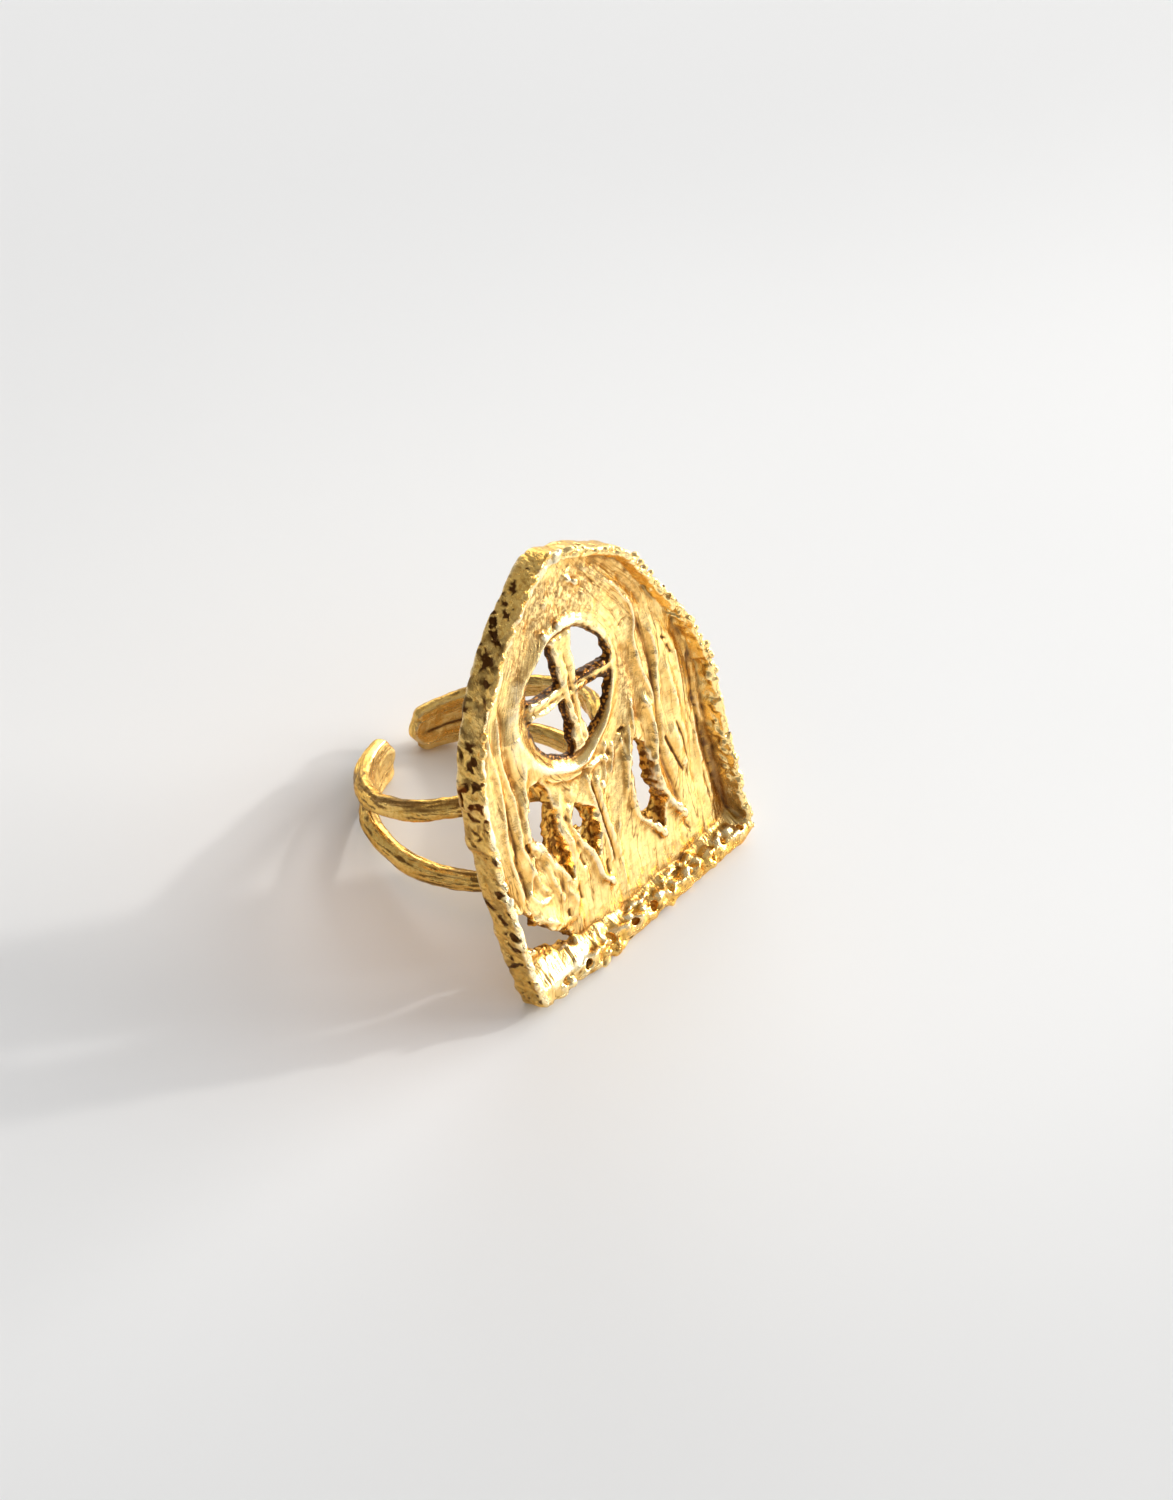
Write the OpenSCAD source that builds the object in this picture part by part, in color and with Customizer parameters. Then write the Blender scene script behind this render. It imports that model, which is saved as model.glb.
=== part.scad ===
// Open ring with a split double-wire shank and a tall house-shaped face.
// The face is a shallow tray: a sheet with a round four-pane window, three
// drip-shaped slots and a torn corner, inside a rough raised rim.
// One casting with its shank soldered on, so it is one solid.
//
// Face coordinates: x runs along the base edge, y up the face, z out of the
// face towards the viewer, with z = 0 on the back of the sheet.
// The finished ring stands on its base edge and leans back on its two
// terminals, +Z up, face towards -Y.

/* [Face] */
// Thickness of the face's sheet
sheet_t = 0.9; // [0.7:0.1:1.2]
// Height of the rim, from the back of the sheet to the crest
rim_h = 2.5; // [2.0:0.1:3.0]
// Thickness of the rim where its row in the outline says 1
rim_t = 0.85; // [0.6:0.05:1.1]
// Size of the cast lumps along the crest (radius)
lump_r = 0.6; // [0.4:0.05:0.7]

/* [Window] */
// Radius of the round window
window_r = 4.95; // [4.2:0.05:5.2]
// Radius of the raised bead round the window
bead_r = 0.62; // [0.4:0.02:0.8]
// Width of the window's bars
bar_w = 1.5; // [1.0:0.1:1.8]

/* [Shank] */
// Radius of the finger hole
finger_r = 8.75; // [8.0:0.05:9.0]
// Thickness of a shank wire
wire_d = 1.7; // [1.4:0.1:1.9]
// Distance between the two wires' centres at the terminals
wire_gap = 1.95; // [1.8:0.05:2.2]
// Tilt of each wire's loop away from the other (degrees)
split_deg = 9.9; // [6:0.1:11]
// Where the near terminal ends, from the middle of the back (degrees)
near_end = 1.7; // [1:0.1:8]
// Where the far terminal ends, from the middle of the back (degrees)
far_end = -12.6; // [-20:0.1:-8]

/* [Hidden] */
$fn = 48;

// outline of the face, clockwise from the base's left corner
// [x, y, rim thickness factor, lumps on this side after the point]
OUTLINE = [
    [ 1.5, -0.45, 1.6, 0],
    [ 0.2,  0.05, 1.2, 0],
    [-0.5,  1.6,  1.0, 0],
    [-0.9,  4.2,  1.0, 0],
    [-1.5,  8.2,  1.0, 0],
    [-2.1, 12.4,  1.0, 0],
    [-2.6, 16.4,  1.0, 0],
    [-2.7, 19.0,  1.0, 0],
    [-2.4, 22.0,  1.0, 0],
    [-1.7, 24.9,  1.0, 0],
    [-0.5, 27.4,  1.0, 0],
    [ 1.4, 29.9,  1.0, 0],
    [ 3.9, 32.3,  1.0, 0],
    [ 6.6, 34.3,  1.0, 0],
    [ 8.9, 35.7,  1.0, 0],
    [10.1, 35.9,  1.0, 3],
    [13.6, 34.2,  1.1, 3],
    [16.6, 32.3,  1.0, 3],
    [18.6, 30.2,  1.0, 3],
    [20.3, 27.4,  1.0, 3],
    [21.6, 24.6,  0.9, 4],
    [24.1, 20.8,  0.9, 3],
    [25.5, 17.8,  0.9, 3],
    [25.9, 14.8,  0.9, 3],
    [26.2, 11.2,  0.9, 3],
    [26.7,  7.2,  0.9, 3],
    [27.2,  3.2,  0.9, 2],
    [27.6,  0.7,  1.0, 0],
    [27.1, -0.45, 1.6, 18]
];

// see-through slots, each a centre line from its top to its bottom end
// [x, y, width]
SLOT_LEFT = [
    [4.2, 17.7, 0.3],
    [4.4, 16.4, 1.8],
    [4.6, 14.6, 2.7],
    [5.1, 12.8, 2.2],
    [5.7, 11.5, 0.5]
];
SLOT_MIDDLE = [
    [8.7, 13.6, 0.3],
    [9.0, 12.5, 1.4],
    [9.6, 10.8, 1.9],
    [10.3, 9.0, 1.4],
    [10.7, 7.8, 0.3]
];
SLOT_RIGHT = [
    [16.8, 14.5, 0.3],
    [16.9, 12.9, 1.6],
    [17.0, 11.0, 2.0],
    [17.2, 9.2, 1.8],
    [17.6, 7.9, 0.6]
];

// torn opening at the left corner between the sheet and the rim
// [x, y]
CORNER = [
    [-0.9, 9.4], [1.2, 7.9], [2.0, 6.3], [3.1, 5.3],
    [4.3, 4.5], [5.4, 4.0], [6.2, 2.7], [5.4, 1.7],
    [4.0, 0.8], [0.6, 0.8], [0.0, 2.0], [-0.5, 5.0]
];

// raised drips that run down the sheet
// [top x, top y, bottom x, bottom y, radius]
DRIPS = [
    [ 3.1, 22.6,  3.3, 14.6, 0.45],
    [ 3.2, 14.6,  6.4,  9.4, 0.45],
    [ 6.4,  9.4,  8.0,  6.6, 0.40],
    [ 6.6, 14.0,  8.3,  7.6, 0.40],
    [ 8.0, 12.6,  9.5,  7.6, 0.35],
    [ 9.5,  7.6, 11.0,  5.1, 0.40],
    [11.0, 14.6, 12.2,  6.4, 0.30],
    [15.9, 14.6, 15.6,  9.4, 0.35],
    [17.4, 20.4, 18.6, 13.4, 0.40],
    [18.6, 13.4, 20.4,  5.4, 0.40],
    [19.4, 23.0, 20.3, 13.0, 0.35],
    [20.6, 14.2, 22.4,  8.6, 0.35],
    [22.6, 17.4, 23.6, 10.4, 0.35],
    [16.0,  8.0, 18.0,  5.2, 0.35]
];

// bars of the window, from bead to bead
// [x, y, x, y, width, depth from the back of the sheet]
BARS = [
    [10.5, 28.0, 10.8, 17.2, bar_w,       0.9],
    [ 4.9, 23.2, 15.7, 22.1, bar_w - 0.1, 0.8]
];

// height of the crest's lumps over the rim, one row, used in turn
// [radius factor, offset across the rim, height over the crest]
LUMPS = [
    [1.00,  0.05,  0.05],
    [0.80, -0.10, -0.15],
    [1.10,  0.00, -0.05],
    [0.85,  0.15,  0.10],
    [0.95, -0.15, -0.10]
];

window_x = 10.3;
window_y = 22.6;
base_y = OUTLINE[0][1];
wire_r = wire_d / 2;
loop_r = finger_r + 0.7;        // radius of a wire's centre line
shank_x = 11.57;                // finger axis in the face's own frame
shank_y = 11.04;
shank_z = -10.4;
bend_deg = 124.4;               // where the wires leave the loop and run straight
seat_t = 0.15;                  // depth of the worn flat where it touches the ground

// the lean that puts both the base edge and the terminals on the ground
low_y = shank_y - wire_gap / 2 - base_y;
low_z = loop_r - shank_z;
lean = acos(wire_r / norm([low_y, low_z])) - atan2(low_z, low_y);
seat_y = seat_t * (tan(lean) - 1 / tan(lean)) / 2; // middle of that flat
mid_x = 12.45;                  // middle of the face's width

function unit(p) = p / norm(p);
function left_of(p) = [-p[1], p[0]];
// direction of a path at row i, open ends allowed
function along(t, i) = unit([for (k = [0, 1])
    t[min(i + 1, len(t) - 1)][k] - t[max(i - 1, 0)][k]]);
// outline that runs at half its width on both sides of a centre line
function strip(t) = concat(
    [for (i = [0 : len(t) - 1])
        [t[i][0], t[i][1]] + left_of(along(t, i)) * t[i][2] / 2],
    [for (i = [len(t) - 1 : -1 : 0])
        [t[i][0], t[i][1]] - left_of(along(t, i)) * t[i][2] / 2]);
// the outline's own points, moved inwards by the rim's thickness
function at(i) = [OUTLINE[(i + len(OUTLINE)) % len(OUTLINE)][0],
                  OUTLINE[(i + len(OUTLINE)) % len(OUTLINE)][1]];
function inward(i) = -left_of(unit(unit(at(i + 1) - at(i)) + unit(at(i) - at(i - 1))));
function inset(f) = [for (i = [0 : len(OUTLINE) - 1])
    at(i) + inward(i) * rim_t * OUTLINE[i][2] * f];

// a rod lying in the sheet's plane
module rod(x0, y0, x1, y1, r, z) {
    translate([x0, y0, z])
        rotate([0, 0, atan2(y1 - y0, x1 - x0)])
            rotate([0, 90, 0]) cylinder(h = norm([x1 - x0, y1 - y0]), r = r);
}

// the sheet with its window, slots and torn corner
module face_sheet() {
    linear_extrude(sheet_t) difference() {
        polygon(inset(0.5));
        translate([window_x, window_y]) circle(window_r);
        polygon(strip(SLOT_LEFT));
        polygon(strip(SLOT_MIDDLE));
        polygon(strip(SLOT_RIGHT));
        polygon(CORNER);
    }
}

// the raised wall round the tray, with cast lumps along its crest
module rim() {
    linear_extrude(rim_h) difference() {
        polygon(inset(0));
        polygon(inset(1));
    }
    for (i = [0 : len(OUTLINE) - 1])
        if (OUTLINE[i][3] > 0)
            for (k = [0 : OUTLINE[i][3] - 1]) {
                f = (k + 0.5) / OUTLINE[i][3];
                row = LUMPS[(i * 3 + k) % len(LUMPS)];
                mid = (at(i) * (1 - f) + at(i + 1) * f);
                t = rim_t * OUTLINE[i][2];
                c = mid + inward(i) * (t / 2 + row[1]);
                translate([c[0], c[1], rim_h - 0.25 + row[2]])
                    sphere(lump_r * row[0]);
            }
}

// the bead round the window and the cross of two bars
module window() {
    translate([window_x, window_y, sheet_t - 0.25])
        rotate_extrude() translate([window_r + bead_r, 0]) circle(bead_r);
    for (b = BARS)
        linear_extrude(b[5]) polygon(strip([[b[0], b[1], b[4]], [b[2], b[3], b[4]]]));
    rod(10.2, window_y + window_r, 10.4, window_y - window_r, 0.36, sheet_t - 0.05);
    rod(10.9, window_y + window_r, 11.1, window_y - window_r, 0.36, sheet_t - 0.05);
    rod(window_x - window_r, 23.2, window_x + window_r, 22.1, 0.45, sheet_t - 0.15);
}

// the drips on the sheet
module drips() {
    for (d = DRIPS) {
        rod(d[0], d[1], d[2], d[3], d[4], sheet_t - 0.05);
        translate([d[2], d[3], sheet_t - 0.05]) sphere(d[4] * 1.12);
    }
}

// turns to a place on a wire's loop; side +1 is the upper wire, -1 the lower.
// th is 0 at the middle of the back and grows towards the near side
module on_loop(side, th) {
    translate([shank_x, shank_y + side * wire_gap / 2, shank_z - loop_r])
        rotate([-side * split_deg, 0, 0])
            translate([0, 0, loop_r]) rotate([90, 0, 0])
                rotate([0, 0, -90 - th]) children();
}

// one half loop and its straight run into the back of the face
module wire(side, th0, th1) {
    n_end = -shank_z - (-loop_r + loop_r * (1 - cos(bend_deg)) * cos(split_deg));
    run = (n_end + 0.35) / (sin(bend_deg) * cos(split_deg));
    on_loop(side, max(th0, th1))
        rotate_extrude(angle = abs(th1 - th0)) translate([loop_r, 0]) circle(wire_r);
    on_loop(side, th1) translate([loop_r, 0, 0])
        rotate([th1 > 0 ? 90 : -90, 0, 0]) {
            sphere(wire_r * 1.04);
            cylinder(h = run, r = wire_r);
            translate([0, 0, run - 1.0]) sphere(wire_r + 0.3);
        }
}

// the metal that joins the two wires at a terminal
module terminal(th0, th1) {
    translate([shank_x, shank_y, shank_z]) rotate([90, 0, 0])
        rotate([0, 0, -90 - max(th0, th1)]) rotate_extrude(angle = abs(th1 - th0))
            translate([loop_r - 0.72, -wire_gap / 2]) square([1.3, wire_gap]);
}

// the open shank: four wires, two terminals and the finger's hole
module shank() {
    difference() {
        union() {
            for (side = [-1, 1]) {
                wire(side, near_end, bend_deg);
                wire(side, far_end, -bend_deg);
            }
            terminal(near_end, 30);
            terminal(far_end, -33);
        }
        translate([shank_x, shank_y + 9, shank_z])
            rotate([90, 0, 0]) cylinder(h = 18, r = finger_r);
    }
}

module ring() {
    color("goldenrod") difference() {
        translate([0, -seat_y, -seat_t]) rotate([90 - lean, 0, 0])
            translate([-mid_x, -base_y, 0]) {
                face_sheet();
                rim();
                window();
                drips();
                shank();
            }
        translate([-30, -20, -10]) cube([60, 60, 10]);
    }
}

ring();
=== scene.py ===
"""Looks of the open ring: the cast house-shaped face and its two-wire shank.

Both are modelled as solid fields on a fine grid, in the face's own frame in
millimetres (u along the base edge, v up the face, n out of the face), and
turned into closed meshes. The last step leans them as the ring stands.
"""
import math

import bpy
import numpy as np
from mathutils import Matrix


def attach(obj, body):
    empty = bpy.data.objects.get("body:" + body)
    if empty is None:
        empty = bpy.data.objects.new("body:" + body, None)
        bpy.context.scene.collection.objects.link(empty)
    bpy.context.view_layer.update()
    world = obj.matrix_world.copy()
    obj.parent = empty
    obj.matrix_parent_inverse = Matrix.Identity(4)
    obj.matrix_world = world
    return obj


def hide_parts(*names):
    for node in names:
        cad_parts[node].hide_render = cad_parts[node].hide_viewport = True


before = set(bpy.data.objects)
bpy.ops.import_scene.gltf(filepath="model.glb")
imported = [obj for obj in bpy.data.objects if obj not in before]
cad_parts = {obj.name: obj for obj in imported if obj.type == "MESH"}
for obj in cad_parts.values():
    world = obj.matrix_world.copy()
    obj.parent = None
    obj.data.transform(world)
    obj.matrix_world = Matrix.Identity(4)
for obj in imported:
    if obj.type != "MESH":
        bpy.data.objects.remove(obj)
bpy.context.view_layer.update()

F32 = np.float32
LEAN = math.radians(25.7426)
SL, CL = math.sin(LEAN), math.cos(LEAN)


def to_world(p):
    """Face frame in millimetres to the row frame in metres."""
    u, v, n = p[:, 0], p[:, 1] + 0.45, p[:, 2]
    out = np.empty_like(p)
    out[:, 0] = u - 12.45
    out[:, 1] = v * SL - n * CL + 0.119379
    out[:, 2] = v * CL + n * SL - 0.15
    return out * 0.001


# ---------------------------------------------------------------- noise
def spline_weights(t):
    t2, t3 = t * t, t * t * t
    return np.stack(
        [(1 - 3 * t + 3 * t2 - t3) / 6, (4 - 6 * t2 + 3 * t3) / 6,
         (1 + 3 * t + 3 * t2 - 3 * t3) / 6, t3 / 6], -1)


def axis_matrix(x, spacing):
    q = (x - x[0]) / spacing
    i = np.floor(q).astype(int)
    w = spline_weights(q - i)
    m = np.zeros((len(x), i.max() + 4), F32)
    for k in range(4):
        m[np.arange(len(x)), i + k] += w[:, k]
    return m


def noise3(axes, spacing, seed):
    """Smooth noise on a regular grid, spread of about 1."""
    if np.isscalar(spacing):
        spacing = (spacing,) * 3
    ms = [axis_matrix(a, s) for a, s in zip(axes, spacing)]
    r = np.random.default_rng(seed).standard_normal([m.shape[1] for m in ms]).astype(F32)
    out = np.tensordot(ms[0], r, (1, 0))
    out = np.tensordot(out, ms[1], (1, 1))
    out = np.tensordot(out, ms[2], (1, 1))
    return out / F32(0.3317)


TABLE = np.random.default_rng(77).standard_normal((256, 256)).astype(F32)


def noise2(x, y, sx, sy, seed):
    """Smooth noise at any points, spread of about 1."""
    qx, qy = x / sx + seed * 17.31, y / sy + seed * 7.77
    i, j = np.floor(qx).astype(int), np.floor(qy).astype(int)
    wx, wy = spline_weights(qx - i), spline_weights(qy - j)
    out = np.zeros(np.shape(qx), F32)
    for a in range(4):
        for b in range(4):
            out += (wx[..., a] * wy[..., b] * TABLE[(i + a) % 256, (j + b) % 256]).astype(F32)
    return out / F32(0.479)


def smin(a, b, k):
    h = np.clip(k - np.abs(a - b), 0, None) / k
    return np.minimum(a, b) - h * h * k * F32(0.25)


def smax(a, b, k):
    return -smin(-a, -b, k)


def step(x, lo, hi):
    t = np.clip((x - lo) / (hi - lo), 0, 1)
    return t * t * (3 - 2 * t)


# ---------------------------------------------------------------- curves
def spline(points, per=6, closed=False):
    """Catmull-Rom curve through rows of any width."""
    p = np.array(points, float)
    m = len(p)
    idx = range(m if closed else m - 1)
    out = []
    for i in idx:
        if closed:
            a, b, c, d = p[(i - 1) % m], p[i], p[(i + 1) % m], p[(i + 2) % m]
        else:
            a, b, c, d = p[max(i - 1, 0)], p[i], p[i + 1], p[min(i + 2, m - 1)]
        for t in np.arange(per) / per:
            out.append(0.5 * (2 * b + (c - a) * t + (2 * a - 5 * b + 4 * c - d) * t * t
                              + (3 * b - a - 3 * c + d) * t ** 3))
    if not closed:
        out.append(p[-1])
    return np.array(out)


def near_line(x, y, line, reach=None, closed=False):
    """Distance to a line of points, and how far along it (0 to 1), inside reach."""
    best = np.full(x.shape, 1e3, F32)
    along = np.zeros(x.shape, F32)
    side = np.zeros(x.shape, F32)
    p = line[:, :2]
    q = np.roll(p, -1, 0) if closed else p[1:]
    p = p if closed else p[:-1]
    seg = np.linalg.norm(q - p, axis=1)
    start = np.concatenate([[0], np.cumsum(seg)])
    total = start[-1]
    for i in range(len(p)):
        if seg[i] < 1e-9:
            continue
        if reach is not None:
            lo, hi = np.minimum(p[i], q[i]) - reach, np.maximum(p[i], q[i]) + reach
            i0, i1 = np.searchsorted(x[:, 0], [lo[0], hi[0]])
            j0, j1 = np.searchsorted(y[0], [lo[1], hi[1]])
            cut = (slice(i0, i1), slice(j0, j1))
        else:
            cut = (slice(None), slice(None))
        xs, ys = x[cut], y[cut]
        dx, dy = q[i] - p[i]
        t = np.clip(((xs - p[i][0]) * dx + (ys - p[i][1]) * dy) / seg[i] ** 2, 0, 1)
        ex, ey = xs - p[i][0] - t * dx, ys - p[i][1] - t * dy
        d = np.hypot(ex, ey).astype(F32)
        hit = d < best[cut]
        best[cut] = np.where(hit, d, best[cut])
        along[cut] = np.where(hit, (start[i] + t * seg[i]) / total, along[cut])
        side[cut] = np.where(hit, np.sign(dx * ey - dy * ex), side[cut])
    return best, along, side


def inside(x, y, poly):
    odd = np.zeros(x.shape, bool)
    for (ax, ay), (bx, by) in zip(poly[:, :2], np.roll(poly[:, :2], -1, 0)):
        if ay == by:
            continue
        odd ^= ((ay > y) != (by > y)) & (x < (bx - ax) * (y - ay) / (by - ay) + ax)
    return odd


def signed(x, y, poly):
    """Distance to a closed outline, negative inside, with the place along it."""
    d, along, _ = near_line(x, y, poly, closed=True)
    return np.where(inside(x, y, poly), -d, d), along


def blur(f, cells):
    """Box average over a few cells each way."""
    out = f
    w = 2 * cells + 1
    for ax in range(3):
        pad = [(0, 0)] * 3
        pad[ax] = (cells + 1, cells)
        c = np.cumsum(np.pad(out, pad, mode="edge"), axis=ax, dtype=np.float64)
        hi = np.take(c, np.arange(w, c.shape[ax]), axis=ax)
        lo = np.take(c, np.arange(0, c.shape[ax] - w), axis=ax)
        out = ((hi - lo) / w).astype(F32)
    return out


# ---------------------------------------------------------------- meshing
CORNERS = np.array([(i, j, k) for i in (0, 1) for j in (0, 1) for k in (0, 1)])
EDGES = [(a, b) for a in range(8) for b in range(a + 1, 8)
         if np.abs(CORNERS[a] - CORNERS[b]).sum() == 1]


def bad_configs():
    """Sign patterns of a cell that would give an untidy mesh."""
    bad = np.zeros(256, bool)
    link = {c: set() for c in range(8)}
    for a, b in EDGES:
        link[a].add(b)
        link[b].add(a)
    for m in range(256):
        for want in (0, 1):
            left = {c for c in range(8) if (m >> c & 1) == want}
            if not left:
                continue
            seen, todo = set(), [next(iter(left))]
            while todo:
                c = todo.pop()
                if c not in seen:
                    seen.add(c)
                    todo += [x for x in link[c] if x in left]
            if seen != left:
                bad[m] = True
        for ax in range(3):
            for val in (0, 1):
                f = [c for c in range(8) if CORNERS[c][ax] == val]
                bits = {tuple(np.delete(CORNERS[c], ax)): m >> c & 1 for c in f}
                if (bits[(0, 0)] == bits[(1, 1)] and bits[(0, 1)] == bits[(1, 0)]
                        and bits[(0, 0)] != bits[(0, 1)]):
                    bad[m] = True
    return bad


BAD = bad_configs()


def cell_codes(neg):
    code = np.zeros(tuple(s - 1 for s in neg.shape), np.uint8)
    for c, (i, j, k) in enumerate(CORNERS):
        code |= neg[i:neg.shape[0] - 1 + i, j:neg.shape[1] - 1 + j,
                    k:neg.shape[2] - 1 + k].astype(np.uint8) << c
    return code


def tidy(f):
    """Nudges grid values until no cell holds two sheets of the surface."""
    for _ in range(60):
        code = cell_codes(f < 0)
        cells = np.argwhere(BAD[code])
        if not len(cells):
            return f
        vals = np.stack([f[tuple((cells + c).T)] for c in CORNERS], 1)
        pick = np.abs(vals).argmin(1)
        where = cells + CORNERS[pick]
        where = np.unique(where, axis=0)
        old = f[tuple(where.T)]
        # solid wins ties, so thin bridges stay joined
        f[tuple(where.T)] = np.where(old < 0, F32(0.004), F32(-0.004))
    return f


def surface(f, axes):
    """Closed quad mesh of the zero level of f on a grid."""
    f = tidy(f)
    neg = f < 0
    code = cell_codes(neg)
    act = np.argwhere((code > 0) & (code < 255))
    vals = np.stack([f[tuple((act + c).T)] for c in CORNERS], 1).astype(float)
    pos = np.zeros((len(act), 3))
    cnt = np.zeros(len(act))
    for a, b in EDGES:
        va, vb = vals[:, a], vals[:, b]
        hit = (va < 0) != (vb < 0)
        t = np.where(hit, va / np.where(hit, va - vb, 1), 0)
        pos += hit[:, None] * (CORNERS[a] + t[:, None] * (CORNERS[b] - CORNERS[a]))
        cnt += hit
    pos = act + pos / cnt[:, None]
    vid = np.full(code.shape, -1, np.int32)
    vid[tuple(act.T)] = np.arange(len(act))
    quads = []
    for ax in range(3):
        lo = [slice(None)] * 3
        hi = [slice(None)] * 3
        lo[ax], hi[ax] = slice(None, -1), slice(1, None)
        a, b = neg[tuple(lo)], neg[tuple(hi)]
        e = np.argwhere(a != b)
        o1, o2 = [o for o in range(3) if o != ax]
        e = e[(e[:, o1] > 0) & (e[:, o2] > 0)
              & (e[:, o1] < f.shape[o1] - 1) & (e[:, o2] < f.shape[o2] - 1)]
        d1, d2 = np.zeros(3, int), np.zeros(3, int)
        d1[o1], d2[o2] = 1, 1
        q = np.stack([vid[tuple((e - d1 - d2).T)], vid[tuple((e - d2).T)],
                      vid[tuple(e.T)], vid[tuple((e - d1).T)]], 1)
        flip = a[tuple(e.T)] ^ (ax == 1)
        q[~flip] = q[~flip][:, ::-1]
        quads.append(q)
    quads = np.concatenate(quads)
    return pos, quads


def solid_parts(pos, quads):
    """Keeps the large connected pieces, so nothing small floats."""
    label = np.arange(len(pos))
    e = np.concatenate([quads[:, [0, 1]], quads[:, [1, 2]], quads[:, [2, 3]], quads[:, [3, 0]]])
    for _ in range(400):
        m = np.minimum(label[e[:, 0]], label[e[:, 1]])
        new = label.copy()
        np.minimum.at(new, e[:, 0], m)
        np.minimum.at(new, e[:, 1], m)
        new = new[new]
        new = new[new]
        if (new == label).all():
            break
        label = new
    count = np.bincount(label, minlength=len(pos))
    keep = count[label] > 0.03 * len(pos)
    remap = np.cumsum(keep) - 1
    return pos[keep], remap[quads[keep[quads[:, 0]]]]


def sample(f, g):
    """Value of grid f at fractional grid places g."""
    g = np.clip(g, 0, np.array(f.shape) - 1.001)
    i = g.astype(int)
    t = (g - i)
    out = np.zeros(len(g))
    for c in CORNERS:
        w = np.prod(np.where(c, t, 1 - t), 1)
        out += w * f[tuple((i + c).T)]
    return out


def settle(f, pos, rounds=3):
    """Moves the vertices onto the zero level."""
    eye = np.eye(3) * 0.5
    for _ in range(rounds):
        val = sample(f, pos)
        grad = np.stack([sample(f, pos + e) - sample(f, pos - e) for e in eye], 1)
        mag = np.maximum((grad ** 2).sum(1), 1e-6)
        move = -val[:, None] * grad / mag[:, None]
        far = np.linalg.norm(move, axis=1)
        move *= np.minimum(1, 0.4 / np.maximum(far, 1e-9))[:, None]
        pos = pos + move * 0.8
    return pos


def make_piece(name, f, axes, limit, marks):
    """Mesh of a field, thinned to limit triangles, with its marks as attributes."""
    h = axes[0][1] - axes[0][0]
    org = np.array([a[0] for a in axes])
    pos, quads = surface(f, axes)
    pos, quads = solid_parts(pos, quads)
    pos = settle(f, pos)
    me = bpy.data.meshes.new(name)
    me.vertices.add(len(pos))
    me.vertices.foreach_set("co", to_world(pos * h + org).astype(F32).ravel() * F32(1000))
    me.loops.add(len(quads) * 4)
    me.loops.foreach_set("vertex_index", quads.astype(np.int32).ravel())
    me.polygons.add(len(quads))
    me.polygons.foreach_set("loop_start", np.arange(len(quads), dtype=np.int32) * 4)
    me.update(calc_edges=True)
    ob = bpy.data.objects.new(name, me)
    bpy.context.scene.collection.objects.link(ob)
    ratio = min(1.0, limit / (2.0 * len(quads)))
    mod = ob.modifiers.new("thin", "DECIMATE")
    mod.ratio = ratio
    mod.use_collapse_triangulate = True
    bpy.context.view_layer.update()
    dg = bpy.context.evaluated_depsgraph_get()
    thin = bpy.data.meshes.new_from_object(ob.evaluated_get(dg))
    ob.modifiers.clear()
    ob.data = thin
    bpy.data.meshes.remove(me)
    thin.name = name
    co = np.zeros(len(thin.vertices) * 3, F32)
    thin.vertices.foreach_get("co", co)
    co = co.reshape(-1, 3).astype(float)
    # back to the face frame for the marks
    x, y, z = co[:, 0], co[:, 1] - 0.119379, co[:, 2] + 0.15
    loc = np.stack([x + 12.45, y * SL + z * CL - 0.45, -y * CL + z * SL], 1)
    g = (loc - org) / h
    for key, grid in marks(loc).items() if callable(marks) else ():
        at = thin.attributes.new(key, "FLOAT", "POINT")
        at.data.foreach_set("value", np.asarray(grid(g) if callable(grid) else grid, F32))
    thin.vertices.foreach_set("co", (co * 0.001).astype(F32).ravel())
    thin.update()
    thin.shade_smooth()
    print(name, "quads", len(quads), "triangles", len(thin.polygons))
    return ob


# ---------------------------------------------------------------- the face
# outline, clockwise from the base's left corner
# [u, v, rim thickness, crest height]
OUTLINE = [
    [1.5, -0.45, 1.10, 2.35], [0.2, 0.05, 1.00, 2.45], [-0.5, 1.6, 0.85, 2.50],
    [-0.9, 4.2, 0.80, 2.50], [-1.5, 8.2, 0.80, 2.50], [-2.1, 12.4, 0.80, 2.50],
    [-2.6, 16.4, 0.80, 2.50], [-2.7, 19.0, 0.80, 2.50], [-2.4, 22.0, 0.80, 2.50],
    [-1.7, 24.9, 0.80, 2.50], [-0.5, 27.4, 0.80, 2.50], [1.4, 29.9, 0.80, 2.45],
    [3.9, 32.3, 0.85, 2.40], [6.5, 34.3, 0.90, 2.40], [9.1, 35.65, 0.95, 2.45],
    [10.7, 35.25, 0.95, 2.45], [13.6, 33.80, 0.85, 2.45], [16.65, 32.2, 0.75, 2.45],
    [18.8, 30.3, 0.68, 2.45], [20.6, 27.5, 0.62, 2.45], [22.1, 24.8, 0.60, 2.40],
    [24.5, 21.0, 0.60, 2.40], [25.8, 17.9, 0.60, 2.45], [26.15, 14.8, 0.60, 2.45],
    [26.4, 11.2, 0.60, 2.45], [26.9, 7.2, 0.62, 2.45], [27.45, 3.2, 0.70, 2.45],
    [27.95, 0.7, 0.90, 2.40], [27.4, -0.50, 1.15, 2.40], [22.0, -0.45, 1.25, 2.45],
    [16.0, -0.45, 1.35, 2.50], [10.0, -0.45, 1.30, 2.50], [5.0, -0.45, 1.10, 2.45],
]

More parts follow.
